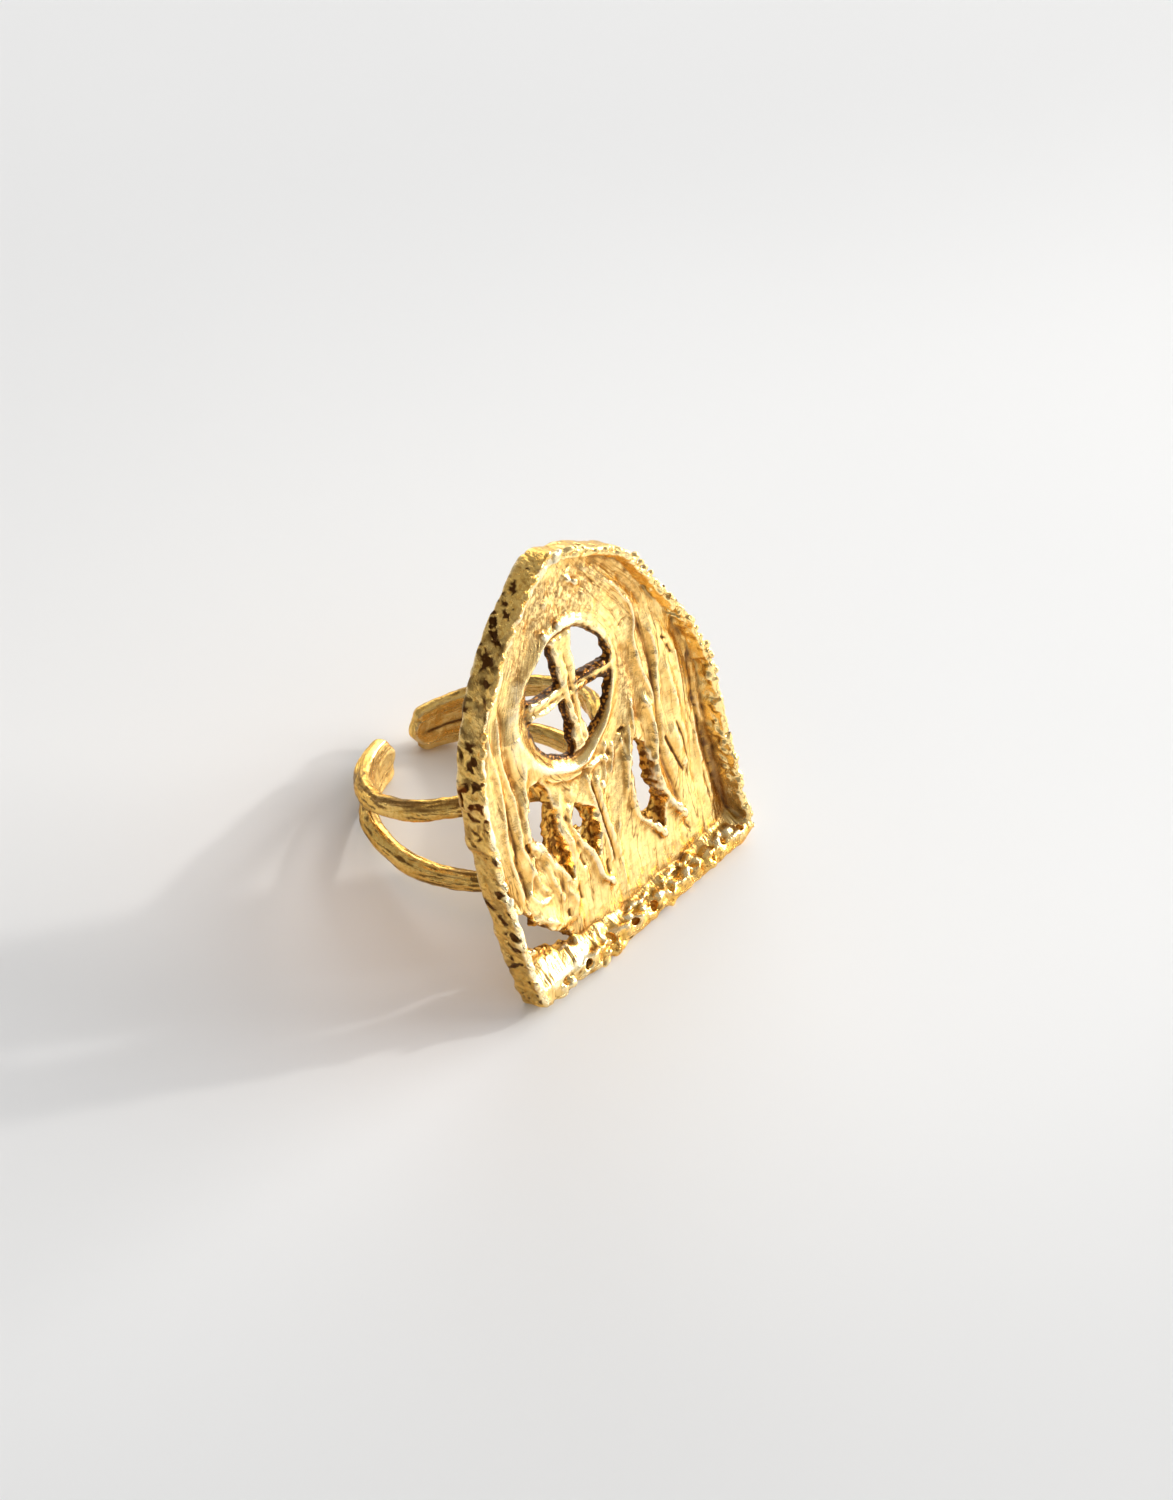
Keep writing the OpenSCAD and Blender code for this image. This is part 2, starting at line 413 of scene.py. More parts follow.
# see-through openings in the sheet
SLOT_LEFT = [(4.3, 17.4), (5.1, 16.9), (5.75, 15.9), (6.0, 14.8), (5.75, 13.4),
             (5.4, 12.2), (5.0, 11.6), (4.2, 12.5), (3.5, 13.3), (3.2, 14.4),
             (3.5, 15.7), (3.9, 16.8)]
SLOT_MIDDLE = [(9.0, 12.6), (9.6, 12.4), (10.1, 11.6), (10.3, 10.9), (9.9, 10.5),
               (9.3, 10.9), (8.8, 11.3), (8.6, 12.0)]
SLOT_RIGHT = [(16.55, 14.6), (17.25, 14.0), (17.75, 12.8), (17.95, 11.4),
              (18.0, 9.9), (18.35, 8.7), (18.2, 7.5), (17.4, 7.1), (16.5, 7.35),
              (15.9, 8.1), (15.65, 9.3), (15.65, 11.0), (15.95, 12.9)]
CORNER_GAP = [(0.1, 8.2), (1.2, 7.9), (1.9, 6.9), (2.5, 5.9), (3.3, 5.1),
              (4.2, 4.6), (4.9, 3.9), (5.5, 3.2), (6.1, 2.45), (5.2, 2.55),
              (4.2, 2.85), (3.0, 3.3), (1.8, 4.1), (0.9, 5.0), (0.0, 6.1),
              (-0.2, 7.3)]

# painted highlights on proud places: line, half width
PAINTED_HIGHLIGHTS = [
    ([(3.3, 14.0), (3.8, 12.8), (4.5, 11.3), (5.2, 10.0)], 0.34),
    ([(8.6, 10.2), (8.9, 9.4), (9.6, 8.0), (10.0, 6.6), (10.4, 5.6), (11.2, 4.8)], 0.17),
    ([(18.5, 9.2), (19.0, 8.0), (19.7, 6.7), (20.3, 5.6)], 0.28),
    ([(16.2, 7.4), (16.9, 6.5), (17.7, 5.5), (18.1, 5.0)], 0.26),
    ([(11.2, 28.85), (12.5, 28.15), (13.8, 27.3)], 0.30),
    ([(9.7, 28.9), (10.15, 28.6)], 0.36),
    ([(8.1, 28.8), (8.4, 28.6)], 0.26),
    ([(6.3, 19.3), (7.6, 18.3), (9.2, 17.5)], 0.26),
    ([(12.0, 13.3), (12.5, 12.9)], 0.22),
    ([(11.9, 31.6), (13.0, 30.8)], 0.22),
    ([(10.3, 35.5), (11.0, 35.2)], 0.34),
    ([(12.8, 34.2), (13.3, 33.9)], 0.30),
    ([(15.7, 32.5), (16.2, 32.1)], 0.30),
    ([(17.2, 31.1), (17.6, 30.6)], 0.28),
    ([(4.6, 27.4), (3.6, 25.4), (3.2, 23.4), (3.25, 21.4), (3.9, 19.4), (5.0, 18.2)], 0.55),
]

# deep hollows that don't go through: outline, floor height
POCKETS = [
    ([(4.6, 17.5), (5.6, 17.3), (6.35, 15.9), (6.75, 14.0), (6.7, 12.2), (6.75, 11.0),
      (7.15, 9.6), (7.4, 8.4), (7.1, 7.5), (6.7, 7.9), (6.3, 9.0), (5.6, 10.2), (5.0, 11.1),
      (5.0, 12.4), (5.3, 14.2), (5.0, 16.0)], 0.40),
    ([(8.9, 13.2), (9.9, 12.6), (10.9, 11.4), (11.1, 9.2), (10.75, 8.0),
      (10.3, 7.6), (9.8, 8.6), (9.0, 9.9), (8.35, 11.3), (8.3, 12.2)], 0.32),
    ([(17.0, 8.2), (18.4, 8.7), (18.85, 6.8), (18.7, 5.4), (18.25, 5.2),
      (17.4, 6.4), (16.5, 7.6)], 0.30),
]

# raised ridges: line, half width, height, sharpness
RIDGES = [
    # down the left, beside the left slot
    ([(3.55, 21.5), (3.6, 19.6), (3.3, 17.5), (2.95, 15.8), (2.85, 14.3), (3.15, 13.0),
      (4.0, 11.9), (4.8, 10.7), (5.6, 9.4), (6.4, 8.1), (7.1, 6.9)], 0.46, 0.52, 1.6),
    # the column between the left and middle slots
    ([(6.9, 15.4), (7.0, 13.5), (7.3, 11.5), (7.9, 9.6), (8.4, 8.0), (8.7, 6.6)], 0.55, 0.32, 2.0),
    ([(8.0, 13.6), (7.95, 12.2), (8.25, 11.0), (8.9, 9.6), (9.6, 8.4), (10.0, 7.2),
      (10.2, 6.1), (10.6, 5.4), (11.2, 4.8)], 0.34, 0.45, 1.4),
    # right of the middle slot
    ([(10.6, 15.2), (10.9, 13.4), (11.15, 11.6), (11.45, 9.8), (11.75, 8.0), (11.95, 6.2)], 0.22, 0.20, 1.5),
    ([(11.6, 14.6), (11.8, 12.6), (12.1, 10.4), (12.45, 8.4), (12.8, 6.4)], 0.30, 0.18, 1.6),
    # left of the right slot
    ([(16.1, 17.2), (15.9, 15.4), (15.35, 13.6), (15.15, 11.4), (15.2, 9.6), (15.6, 8.0),
      (16.6, 6.8), (17.5, 5.8), (18.1, 5.0)], 0.34, 0.36, 1.4),
    ([(15.1, 16.0), (15.1, 13.8), (14.9, 12.0), (14.6, 10.6)], 0.20, 0.20, 1.5),
    ([(16.9, 18.2), (16.6, 16.6), (16.5, 15.2)], 0.20, 0.25, 1.4),
    # right of the right slot
    ([(18.0, 18.2), (18.5, 16.4), (18.75, 14.6), (18.6, 12.8), (18.35, 11.2), (18.4, 9.9),
      (18.8, 8.6), (19.4, 7.2), (20.1, 6.0), (20.7, 5.1)], 0.46, 0.54, 1.6),
    # the long fold from the shoulder
    ([(15.6, 29.6), (16.9, 28.5), (17.9, 27.0), (18.6, 25.6), (18.7, 24.3), (18.3, 22.8),
      (18.4, 21.0), (18.7, 19.2), (19.2, 17.4), (19.35, 15.6)], 0.30, 0.30, 1.3),
    ([(19.9, 23.2), (20.4, 21.6), (20.5, 19.8), (20.2, 18.2), (20.1, 16.0)], 0.28, 0.22, 1.4),
    # folds on the right
    ([(20.8, 13.4), (21.3, 12.0), (21.8, 10.4), (22.1, 8.9)], 0.55, 0.22, 2.0),
    ([(21.2, 19.6), (21.5, 17.6), (21.9, 15.2), (22.3, 13.0), (22.8, 11.0)], 0.45, 0.20, 1.8),
    ([(22.6, 21.0), (22.8, 19.4), (22.9, 17.4), (23.0, 15.2), (23.4, 12.6), (23.9, 10.0),
      (24.3, 7.0)], 0.40, 0.20, 1.6),
    # left strip between the rim and the long ridge
    ([(0.3, 25.4), (0.5, 22.6), (0.9, 20.0), (0.8, 17.4), (0.5, 14.8), (0.7, 12.4),
      (1.0, 10.2), (1.1, 8.9)], 0.34, 0.26, 1.6),
    ([(2.1, 25.6), (1.5, 23.4), (1.55, 21.2), (2.0, 19.4), (2.3, 17.2), (2.2, 15.0),
      (2.1, 13.4), (2.7, 11.8), (2.6, 10.4), (2.2, 9.2)], 0.28, 0.24, 1.5),
    # lobes above the torn corner
    ([(3.4, 12.2), (3.0, 11.0), (3.3, 9.8), (3.7, 8.8), (4.3, 8.0)], 0.24, 0.22, 1.5),
    ([(4.2, 11.0), (4.6, 9.8), (4.9, 8.6), (5.4, 7.4), (5.8, 6.2)], 0.24, 0.22, 1.5),
    ([(1.9, 9.8), (2.2, 8.8), (2.8, 8.0), (3.7, 7.5), (4.6, 7.4)], 0.22, 0.18, 1.5),
    ([(2.2, 7.2), (2.9, 6.3), (3.7, 5.7), (4.6, 5.0), (5.3, 4.3), (6.0, 3.2)], 0.30, 0.22, 1.6),
    ([(6.0, 8.4), (6.2, 7.2), (6.8, 6.2), (7.2, 5.2)], 0.24, 0.18, 1.5),
    # at the top
    ([(11.9, 31.7), (12.6, 31.1), (13.3, 30.5)], 0.28, 0.25, 1.6),
    ([(4.0, 29.2), (5.6, 30.4), (7.4, 31.0), (9.4, 30.8)], 0.5, 0.10, 2.0),
    # second line under the window
    ([(5.4, 17.9), (6.8, 16.6), (8.6, 15.8), (10.6, 15.5), (12.4, 15.2), (13.6, 14.6)], 0.26, 0.26, 1.4),
    ([(13.4, 16.4), (13.0, 14.4), (12.6, 13.2)], 0.30, 0.22, 1.6),
    ([(14.2, 15.8), (13.9, 14.4), (13.4, 13.4)], 0.20, 0.20, 1.5),
]

# grooves and cracks: line, half width, depth, sharpness
GROOVES = [
    ([(11.0, 14.2), (11.35, 12.0), (11.6, 10.4), (11.85, 8.8), (12.15, 7.2), (12.3, 6.0)], 0.13, 0.34, 1.6),
    ([(1.5, 18.4), (1.4, 16.2), (1.5, 14.0), (1.45, 12.0), (1.8, 10.4), (1.5, 8.7)], 0.26, 0.30, 1.6),
    ([(2.5, 26.4), (2.4, 23.6), (2.4, 21.4), (2.6, 19.6), (2.9, 18.0)], 0.40, 0.30, 1.9),
    ([(2.6, 13.5), (2.95, 12.4)], 0.16, 0.28, 1.6),
    ([(17.2, 23.4), (17.5, 21.2), (17.7, 19.0), (17.5, 16.6), (17.2, 15.4)], 0.55, 0.20, 2.0),
    ([(19.2, 24.6), (19.7, 21.6), (19.8, 19.0), (19.6, 17.0), (19.65, 15.0), (19.6, 13.2)], 0.34, 0.26, 1.8),
    ([(19.3, 15.0), (19.4, 12.0), (19.6, 10.4), (20.1, 8.8), (20.5, 7.2), (20.8, 5.9)], 0.40, 0.30, 1.8),
    ([(20.1, 13.0), (20.7, 11.2), (21.2, 9.8), (21.9, 8.3)], 0.16, 0.22, 1.6),
    ([(21.5, 13.6), (22.0, 12.0), (22.4, 10.4), (22.5, 9.0), (22.0, 7.6)], 0.14, 0.20, 1.6),
    ([(23.2, 15.8), (23.2, 13.6), (23.6, 11.8), (23.6, 9.8)], 0.18, 0.18, 1.6),
    ([(24.1, 8.2), (24.4, 6.2), (24.7, 4.0)], 0.18, 0.16, 1.6),
    ([(24.3, 18.4), (24.4, 16.0), (24.5, 13.6), (24.8, 11.2), (25.2, 8.8), (25.6, 6.2),
      (26.1, 4.0), (26.6, 1.9), (26.9, 0.6)], 0.34, 0.20, 1.7),
    ([(20.9, 4.2), (21.6, 3.0)], 0.20, 0.14, 1.8),
    ([(4.9, 19.0), (6.2, 17.9), (7.6, 16.9), (9.4, 16.25), (11.4, 16.3), (13.2, 16.7)], 0.12, 0.24, 1.5),
    ([(5.4, 18.6), (5.9, 17.4), (6.4, 16.6)], 0.10, 0.24, 1.5),
    ([(17.4, 28.3), (17.9, 27.2), (18.4, 26.2)], 0.09, 0.20, 1.5),
    ([(13.4, 31.4), (14.3, 30.6), (15.2, 29.4)], 0.12, 0.12, 1.6),
    ([(17.0, 24.5), (17.5, 24.8), (17.9, 24.85)], 0.10, 0.12, 1.5),
    ([(15.0, 16.1), (15.7, 16.25)], 0.16, 0.24, 1.5),
    ([(6.2, 5.2), (6.2, 4.4)], 0.16, 0.16, 1.8),
    ([(7.7, 6.4), (7.9, 5.0)], 0.16, 0.18, 1.8),
    ([(8.3, 9.0), (8.7, 7.6)], 0.22, 0.22, 1.8),
    ([(11.4, 6.6), (11.3, 5.2)], 0.22, 0.22, 1.8),
    ([(21.4, 21.2), (21.9, 20.7)], 0.14, 0.20, 1.6),
    ([(22.0, 20.2), (22.3, 19.2)], 0.14, 0.18, 1.6),
    ([(2.2, 2.9), (4.0, 2.35), (6.0, 1.85), (8.0, 1.15)], 0.12, 0.30, 1.5),
]

H = 0.11
GU = np.arange(-3.75, 29.0, H)
GV = np.arange(-1.65, 37.0, H)
GN = np.arange(-0.55, 3.75, H)
AX = (GU, GV, GN)
X, Y = np.meshgrid(GU, GV, indexing="ij")
N3 = GN.astype(F32)[None, None, :]

outline = spline(OUTLINE, 9, closed=True)
sd, ring_at = signed(X, Y, outline)
turns = np.concatenate([outline, outline[:1]])
lengths = np.concatenate([[0], np.cumsum(np.linalg.norm(np.diff(turns[:, :2], axis=0), axis=1))])
TOTAL = lengths[-1]
arc = ring_at * TOTAL                      # millimetres round the outline
rim_t = np.interp(arc, lengths, turns[:, 2]).astype(F32)
rim_h = np.interp(arc, lengths, turns[:, 3]).astype(F32)


def place(i):
    """How far round the outline a row of OUTLINE is."""
    return lengths[i * 9]


LEFT_END, APEX = place(13), place(14)
RIGHT_FROM, BASE_FROM = place(15), place(28)
on_left = step(arc, 0, 2) * (1 - step(arc, APEX, APEX + 1.5))
on_base = step(arc, BASE_FROM - 1.0, BASE_FROM + 0.5)

# uneven hand-made edges
sd = sd + (0.09 * noise2(X, Y, 2.3, 2.3, 1) + 0.045 * noise2(X, Y, 0.9, 0.9, 2)).astype(F32)
inner = -sd                                 # how far in from the outer wall

# ------------------------------------------------ height of the tray
win = (10.35, 22.65)
wu, wv = X - win[0], Y - win[1]
rho = np.hypot(wu, wv)
phi = np.arctan2(wv, wu)
w_edge = 1 / np.sqrt((np.cos(phi) / 4.75) ** 2 + (np.sin(phi) / 5.25) ** 2)
w_edge = w_edge - 0.20 * np.exp(-((phi - 1.1) / 0.45) ** 2) - 0.12 * np.exp(-((phi - 2.25) / 0.35) ** 2)
w_edge = w_edge * (1 + 0.012 * np.sin(3 * phi + 0.8) + 0.008 * np.sin(7 * phi))
w_out = rho - w_edge                        # outside the window's edge, positive

# folds run down the face and part round the window
width = np.interp(GV, [-1, 8, 16, 22, 26, 30, 33, 36], [29, 28, 28.5, 26, 23, 17, 11, 4])
flow = (X - 10.35) * (1 - 5.5 ** 2 / np.maximum(rho, 5.6) ** 2) * (27 / width)[None, :]
flow = flow + 0.30 * noise2(X, Y, 2.6, 4.4, 3) + 0.10 * noise2(X, Y, 1.1, 2.0, 23)
calm = step(X, 12.0, 14.5) * (1 - step(Y, 5.5, 8.0)) * (1 - step(X, 23.5, 25.5))
sandy = step(Y, 24.5, 28.5)
near_win = np.exp(-(np.maximum(w_out, 0) / 1.8) ** 2)
quiet = (1 - 0.70 * sandy) * (1 - 0.70 * calm) * (1 - 0.5 * near_win)
stream = 0.095 * noise2(flow, Y, 1.25, 9.0, 4) + 0.050 * noise2(flow, Y, 0.62, 6.0, 5)
one, two = noise2(flow, Y, 1.9, 11.0, 24), noise2(flow, Y, 2.6, 5.5, 25)
crack = np.exp(-(one / 0.075) ** 2) * step(two, 0.2, 0.8)
three, four = noise2(flow, Y, 1.2, 9.0, 26), noise2(flow, Y, 2.2, 4.5, 27)
thread = np.exp(-(three / 0.16) ** 2) * step(four, 0.0, 0.8)
stream = (stream - 0.17 * crack + 0.10 * thread) * quiet
left_low = (1 - step(X, 7.5, 9.5)) * (1 - step(Y, 12.5, 15.0))
height = 1.0 + 0.06 * noise2(X, Y, 4.5, 5.5, 7) + stream
height = height + 0.085 * noise2(flow + 0.35 * Y, Y, 0.50, 3.2, 8) * left_low
height = height + 0.012 * noise2(X, Y, 0.34, 0.34, 9) + (0.030 * noise2(X, Y, 0.8, 0.8, 10) + 0.022 * noise2(X, Y, 0.36, 0.36, 58)) * sandy
between = np.exp(-((X - 11.0) / 3.6) ** 2 - ((Y - 14.9) / 1.3) ** 2)
height = height + between * 0.085 * noise2(X, Y, 0.40, 0.48, 11)
# the tray dips a little before the right wall
height = height - 0.12 * np.exp(-((inner - 1.6) / 0.42) ** 2) * step(arc, RIGHT_FROM, RIGHT_FROM + 4) * (1 - on_base)

for pts, w, a, sharp in RIDGES:
    d, along, _ = near_line(X, Y, spline(pts, 6), reach=4 * w)
    taper = step(along, -0.02, 0.14) * (1 - 0.55 * step(along, 0.9, 1.04))
    wob = 1 + 0.12 * noise2(along * 30, d * 0, 2.0, 1, hash(round(pts[0][0] * 10)) % 31)
    height = height + a * taper * wob * np.exp(-(d / w) ** sharp * 1.1)
for pts, w, a, sharp in GROOVES:
    d, along, _ = near_line(X, Y, spline(pts, 6), reach=4 * w)
    taper = step(along, -0.02, 0.12) * (1 - 0.8 * step(along, 0.86, 1.02))
    height = height - a * taper * np.exp(-(d / w) ** sharp * 1.1)

# raised collar round the window, with a lip that falls to the opening
crest_at = np.interp(phi, [-math.pi, -2.85, -2.5, -2.0, -1.57, -0.8, 0, 0.8, 1.57, 2.2, 2.7, math.pi],
                     [2.35, 1.95, 1.40, 1.00, 0.95, 0.55, 0.32, 0.34, 0.66, 1.00, 1.80, 2.35])
crest_up = np.interp(phi, [-math.pi, -2.4, -1.57, -0.8, 0, 0.8, 1.57, 2.4, math.pi],
                     [0.48, 0.52, 0.50, 0.30, 0.14, 0.18, 0.50, 0.50, 0.48])
lip_up = np.interp(phi, [-math.pi, -2.0, -1.2, 0, 1.2, 2.0, math.pi],
                   [0.72, 0.74, 0.92, 1.10, 1.06, 0.82, 0.72])
crest = 1.0 + crest_up * (1 + 0.13 * noise2(phi * 5.6, phi * 0, 1.1, 1, 12))
sharp_out = 0.62 - 0.22 * np.exp(-((phi - 1.45) / 0.6) ** 2) + 0.80 * np.exp(-((math.pi - np.abs(phi)) / 0.55) ** 2)
t = step(w_out, 0.05, 1.0 * crest_at)
collar_in = lip_up + (crest - lip_up) * t ** 1.4
out = np.exp(-(np.maximum(w_out - crest_at, 0) / sharp_out) ** 1.7)
lip = collar_in + 0.03 * noise2(X, Y, 0.6, 0.6, 13)
collar = np.where(w_out < crest_at, lip, height * (1 - out) + np.maximum(crest, height) * out)
height = np.where(w_out < 5.0, collar, height)

# the window's cross: bars with a double ridge
bar_line = spline([(10.2, 28.3), (10.28, 26.2), (10.38, 24.2), (10.55, 22.4), (10.75, 20.2), (10.95, 17.0)], 6)
bd, balong, bside = near_line(X, Y, bar_line, reach=4.0)
bar_w = np.interp(balong, [0, 0.25, 0.5, 0.75, 1.0], [1.24, 1.06, 0.84, 0.80, 0.98])
cross_line = spline([(4.6, 23.35), (7.5, 23.0), (10.3, 22.75), (13.0, 22.45), (16.1, 22.1)], 6)
cd, calong, cside = near_line(X, Y, cross_line, reach=4.0)
cross_w = np.interp(calong, [0, 0.2, 0.5, 0.8, 1.0], [0.95, 0.74, 0.74, 0.70, 0.85])
bd_n = bd + 0.05 * noise2(X, Y, 0.6, 0.6, 14)
cd_n = cd + 0.05 * noise2(X, Y, 0.6, 0.6, 15)


def bar_top(d, w, top, dip):
    x = np.clip(d / w, 0, 1.3)
    return top - dip * np.exp(-(x / 0.30) ** 2) - 0.30 * np.clip(x - 0.62, 0, 1) ** 2 * 4


bar_h = np.maximum(bar_top(bd_n, bar_w, 1.16, 0.10), 0) - 0.05 * bside + 0.055 * noise2(bd * bside, balong * 11, 0.24, 2.2, 57)
cross_h = np.maximum(bar_top(cd_n, cross_w, 1.05, 0.06), 0) + 0.045 * noise2(cd * cside, calong * 11, 0.24, 1.8, 59)
bars_h = np.where(bd_n < bar_w * 1.3, bar_h, 0)
bars_h = np.maximum(bars_h, np.where(cd_n < cross_w * 1.3, cross_h, 0)) + 0.035 * noise2(X, Y, 0.45, 0.45, 16)
in_win = step(-w_out, -0.25, 0.35)
height = np.where(w_out < 0.8, height * (1 - in_win) + np.maximum(bars_h, 0.75) * in_win, height)

# hollows
rag = 0.07 * noise2(X, Y, 0.5, 0.5, 17) + 0.04 * noise2(X, Y, 0.25, 0.25, 18)
for pts, floor_n in POCKETS:
    d, _ = signed(X, Y, spline(pts, 4, closed=True))
    t = step(-(d + rag), -0.10, 0.28)
    height = height * (1 - t) + (floor_n + 0.10 * noise2(X, Y, 0.5, 0.5, 19)) * t

# openings, positive inside
win_gap = np.minimum(np.minimum(-w_out, bd_n - bar_w), cd_n - cross_w)
k_round = 0.5
win_gap = -smax(smax(w_out.astype(F32), (bar_w - bd_n).astype(F32), F32(k_round)),
                (cross_w - cd_n).astype(F32), F32(k_round))
opening = win_gap + 0.25 * rag
for pts in (SLOT_LEFT, SLOT_MIDDLE, SLOT_RIGHT, CORNER_GAP):
    d, _ = signed(X, Y, spline(pts, 4, closed=True))
    opening = np.maximum(opening, -d + rag)
opening = opening.astype(F32)

# low flange of the sheet in the torn corner, then the ramp up to the base
flange = step(Y, 2.0, 2.5) * (1 - step(Y, 3.4, 4.4)) * (1 - step(X, 5.2, 7.6))
height = height - 0.50 * flange
foot = np.interp(GU, [-2, 3, 6, 9, 12, 16, 28], [2.75, 2.65, 2.35, 1.95, 1.70, 1.55, 1.50])[:, None]
foot = foot + 0.10 * noise2(X, X * 0, 1.3, 1, 28) + 0.05 * noise2(X, X * 0, 0.5, 1, 29)
ramp = 1.02 + 0.80 * (foot - Y)
ramp = np.minimum(ramp, 2.15) + 0.03 * noise2(X, Y, 1.0, 0.5, 30)
seam = 0.16 * np.exp(-((Y - foot - 0.10) / 0.13) ** 2) * (1 - step(X, 7.5, 9.5))
height = np.where(Y < foot + 0.5, smax(height - seam, ramp, 0.12), height)
side_on = step(arc, RIGHT_FROM - 1.0, RIGHT_FROM + 2.0) * (1 - step(arc, BASE_FROM - 1.6, BASE_FROM - 0.6))
toe = 1.10 - 0.28 * step(Y, 19.0, 25.0) + 0.10 * noise2(arc, arc * 0, 1.6, 1, 34) + 0.06 * noise2(arc, arc * 0, 0.6, 1, 35)
bank = 1.0 + 2.8 * (toe - inner) + 0.14 * noise2(arc, inner, 0.75, 0.6, 36) + 0.07 * noise2(arc, inner, 0.35, 0.35, 37)
bank = np.minimum(bank, 2.25) * side_on
height = np.where(inner < 2.6, smax(height, bank, 0.10), height)

back = 0.05 + 0.035 * noise2(X, Y, 2.4, 2.4, 20) + 0.03 * noise2(X, Y, 0.8, 0.8, 21) + 0.12 * np.clip(height - 1.05, -0.3, 0.4)
back = back + 0.50 * np.exp(-(np.maximum(w_out, 0) / 0.6) ** 2) * np.clip(wu / 3, 0, 1)
back = np.where((w_out < 0.6), back * (1 - in_win) + (0.12 + 0.04 * noise2(X, Y, 0.5, 0.5, 22)) * in_win, back)
gu, gv = np.gradient(height, H)
# slopes that face left, away from the key light, kept for painted shade
shade_slope_map = step(gu / np.sqrt(1 + gu * gu + gv * gv), 0.10, 0.55).astype(F32)
slope = np.sqrt(1 + np.minimum(gu * gu + gv * gv, 6))

height, back, slope = height.astype(F32), back.astype(F32), slope.astype(F32)


def blur2(f, mm):
    c = max(1, int(mm / H))
    return blur(blur(f[..., None].astype(F32), c), c)[..., 0]


solid = (opening < 0).astype(F32)
level = np.where(opening < 0, height, 0).astype(F32)


def valley_at(mm, deep):
    mean = blur2(level, mm) / np.maximum(blur2(solid, mm), 0.15)
    return np.clip((mean - height) / deep, -1, 1).astype(F32)


valley_a, valley_b = valley_at(0.28, 0.085), valley_at(0.75, 0.20)
fine = noise3(AX, 0.30, 31)
mid = noise3(AX, 0.62, 32)
big = noise3(AX, 1.30, 33)

f = smax((N3 - height[..., None]) / slope[..., None], back[..., None] - N3, F32(0.16))
edge_rough = (np.exp(-np.abs(opening) / 0.35) * (0.45 + 0.55 * step(w_out, 0.6, 1.4))).astype(F32)[..., None]
f = smax(f, opening[..., None] + edge_rough * F32(0.05) * mid, F32(0.20))
f = f + edge_rough * F32(0.045) * fine
f = smax(f, (sd + 0.45 * rim_t).astype(F32)[..., None] + 0 * N3, F32(0.08))
field = f + F32(0.010) * fine

# ------------------------------------------------ rim
jag = noise2(arc, arc * 0, 0.80, 1, 41) * 0.085 + noise2(arc, arc * 0, 0.36, 1, 42) * 0.055
rough_side = 1 - on_left
top = rim_h - 0.12 + jag * (0.85 + 0.45 * rough_side)
thick = rim_t * (1 - 0.16 * on_left) * (1 + 0.10 * noise2(arc, arc * 0, 1.9, 1, 43))
rad = F32(0.20)
# the outer wall leans in a little towards the crest on the left
d3 = inner.astype(F32)[..., None] - (0.05 * on_left).astype(F32)[..., None] * N3
half_t = (thick / 2).astype(F32)[..., None]
mid_n = ((top + 0.02) / 2).astype(F32)[..., None]
half_n = ((top - 0.02) / 2).astype(F32)[..., None]
q1 = np.abs(d3 - half_t) - half_t + rad
q2 = np.abs(N3 - mid_n) - half_n + rad
rim = np.minimum(np.maximum(q1, q2), 0) + np.hypot(np.maximum(q1, 0), np.maximum(q2, 0)) - rad
rim = rim + F32(0.030) * big + F32(0.026) * mid + F32(0.014) * fine
# flats across the outer wall from the hammer, with sharp edges
skin = np.nonzero((np.abs(rim) < 0.5) & (d3 < 0.40))
ls, ln = arc[skin[0], skin[1]], GN[skin[2]]
flat = noise2(ls + 0.25 * ln, ln, 1.15, 1.1, 44)
rim[skin] += (0.050 * np.exp(-(flat / 0.22) ** 2) + 0.035 * noise2(ls, ln, 1.2, 1.2, 49)
              + 0.016 * noise2(ls, ln, 0.5, 0.6, 45)).astype(F32)
field = smin(field, rim, F32(0.22))
del f, rim, q1, q2, d3

rng = np.random.default_rng(5)
tangent = np.gradient(turns[:, :2], lengths, axis=0)


def on_rim(s, depth, n):
    """Point at s millimetres round the outline, depth in from the outer wall."""
    s = s % TOTAL
    c = np.array([np.interp(s, lengths, turns[:, k]) for k in (0, 1)])
    tg = np.array([np.interp(s, lengths, tangent[:, k]) for k in (0, 1)])
    tg /= np.linalg.norm(tg)
    into = np.array([tg[1], -tg[0]])
    c = c + into * depth
    return np.array([c[0], c[1], n]), tg, into


def window_of(c, reach):
    cut, parts = [], []
    for ax, (g, x) in enumerate(zip(AX, c)):
        i0, i1 = np.searchsorted(g, [x - reach, x + reach])
        cut.append(slice(i0, i1))
        shape = [1, 1, 1]
        shape[ax] = -1
        parts.append((g[i0:i1] - x).reshape(shape))
    return tuple(cut), parts


def blob(c, radii, frame3, k, add=True):
    """Adds or cuts an ellipsoid with the given axes."""
    cut, (a, b, d) = window_of(c, max(radii) + 0.5)
    q = 0
    for r, e in zip(radii, frame3):
        q = q + ((a * e[0] + b * e[1] + d * e[2]) / r) ** 2
    q = np.sqrt(q)
    dist = ((q - 1) * min(radii)).astype(F32)
    if add:
        field[cut] = smin(field[cut], dist, F32(k))
    else:
        field[cut] = smax(field[cut], -dist, F32(k))


def tilted(tg, into):
    """A random set of axes that keeps roughly to the rim."""
    m = np.array([[tg[0], tg[1], 0], [into[0], into[1], 0], [0, 0, 1.0]])
    w = rng.normal(0, 0.35, 3)
    a = np.linalg.norm(w)
    kx = np.array([[0, -w[2], w[1]], [w[2], 0, -w[0]], [-w[1], w[0], 0]]) / max(a, 1e-9)
    rot = np.eye(3) + math.sin(a) * kx + (1 - math.cos(a)) * kx @ kx
    return m @ rot.T


def crest_n(s):
    return float(np.interp(s % TOTAL, lengths, turns[:, 3])) - 0.1


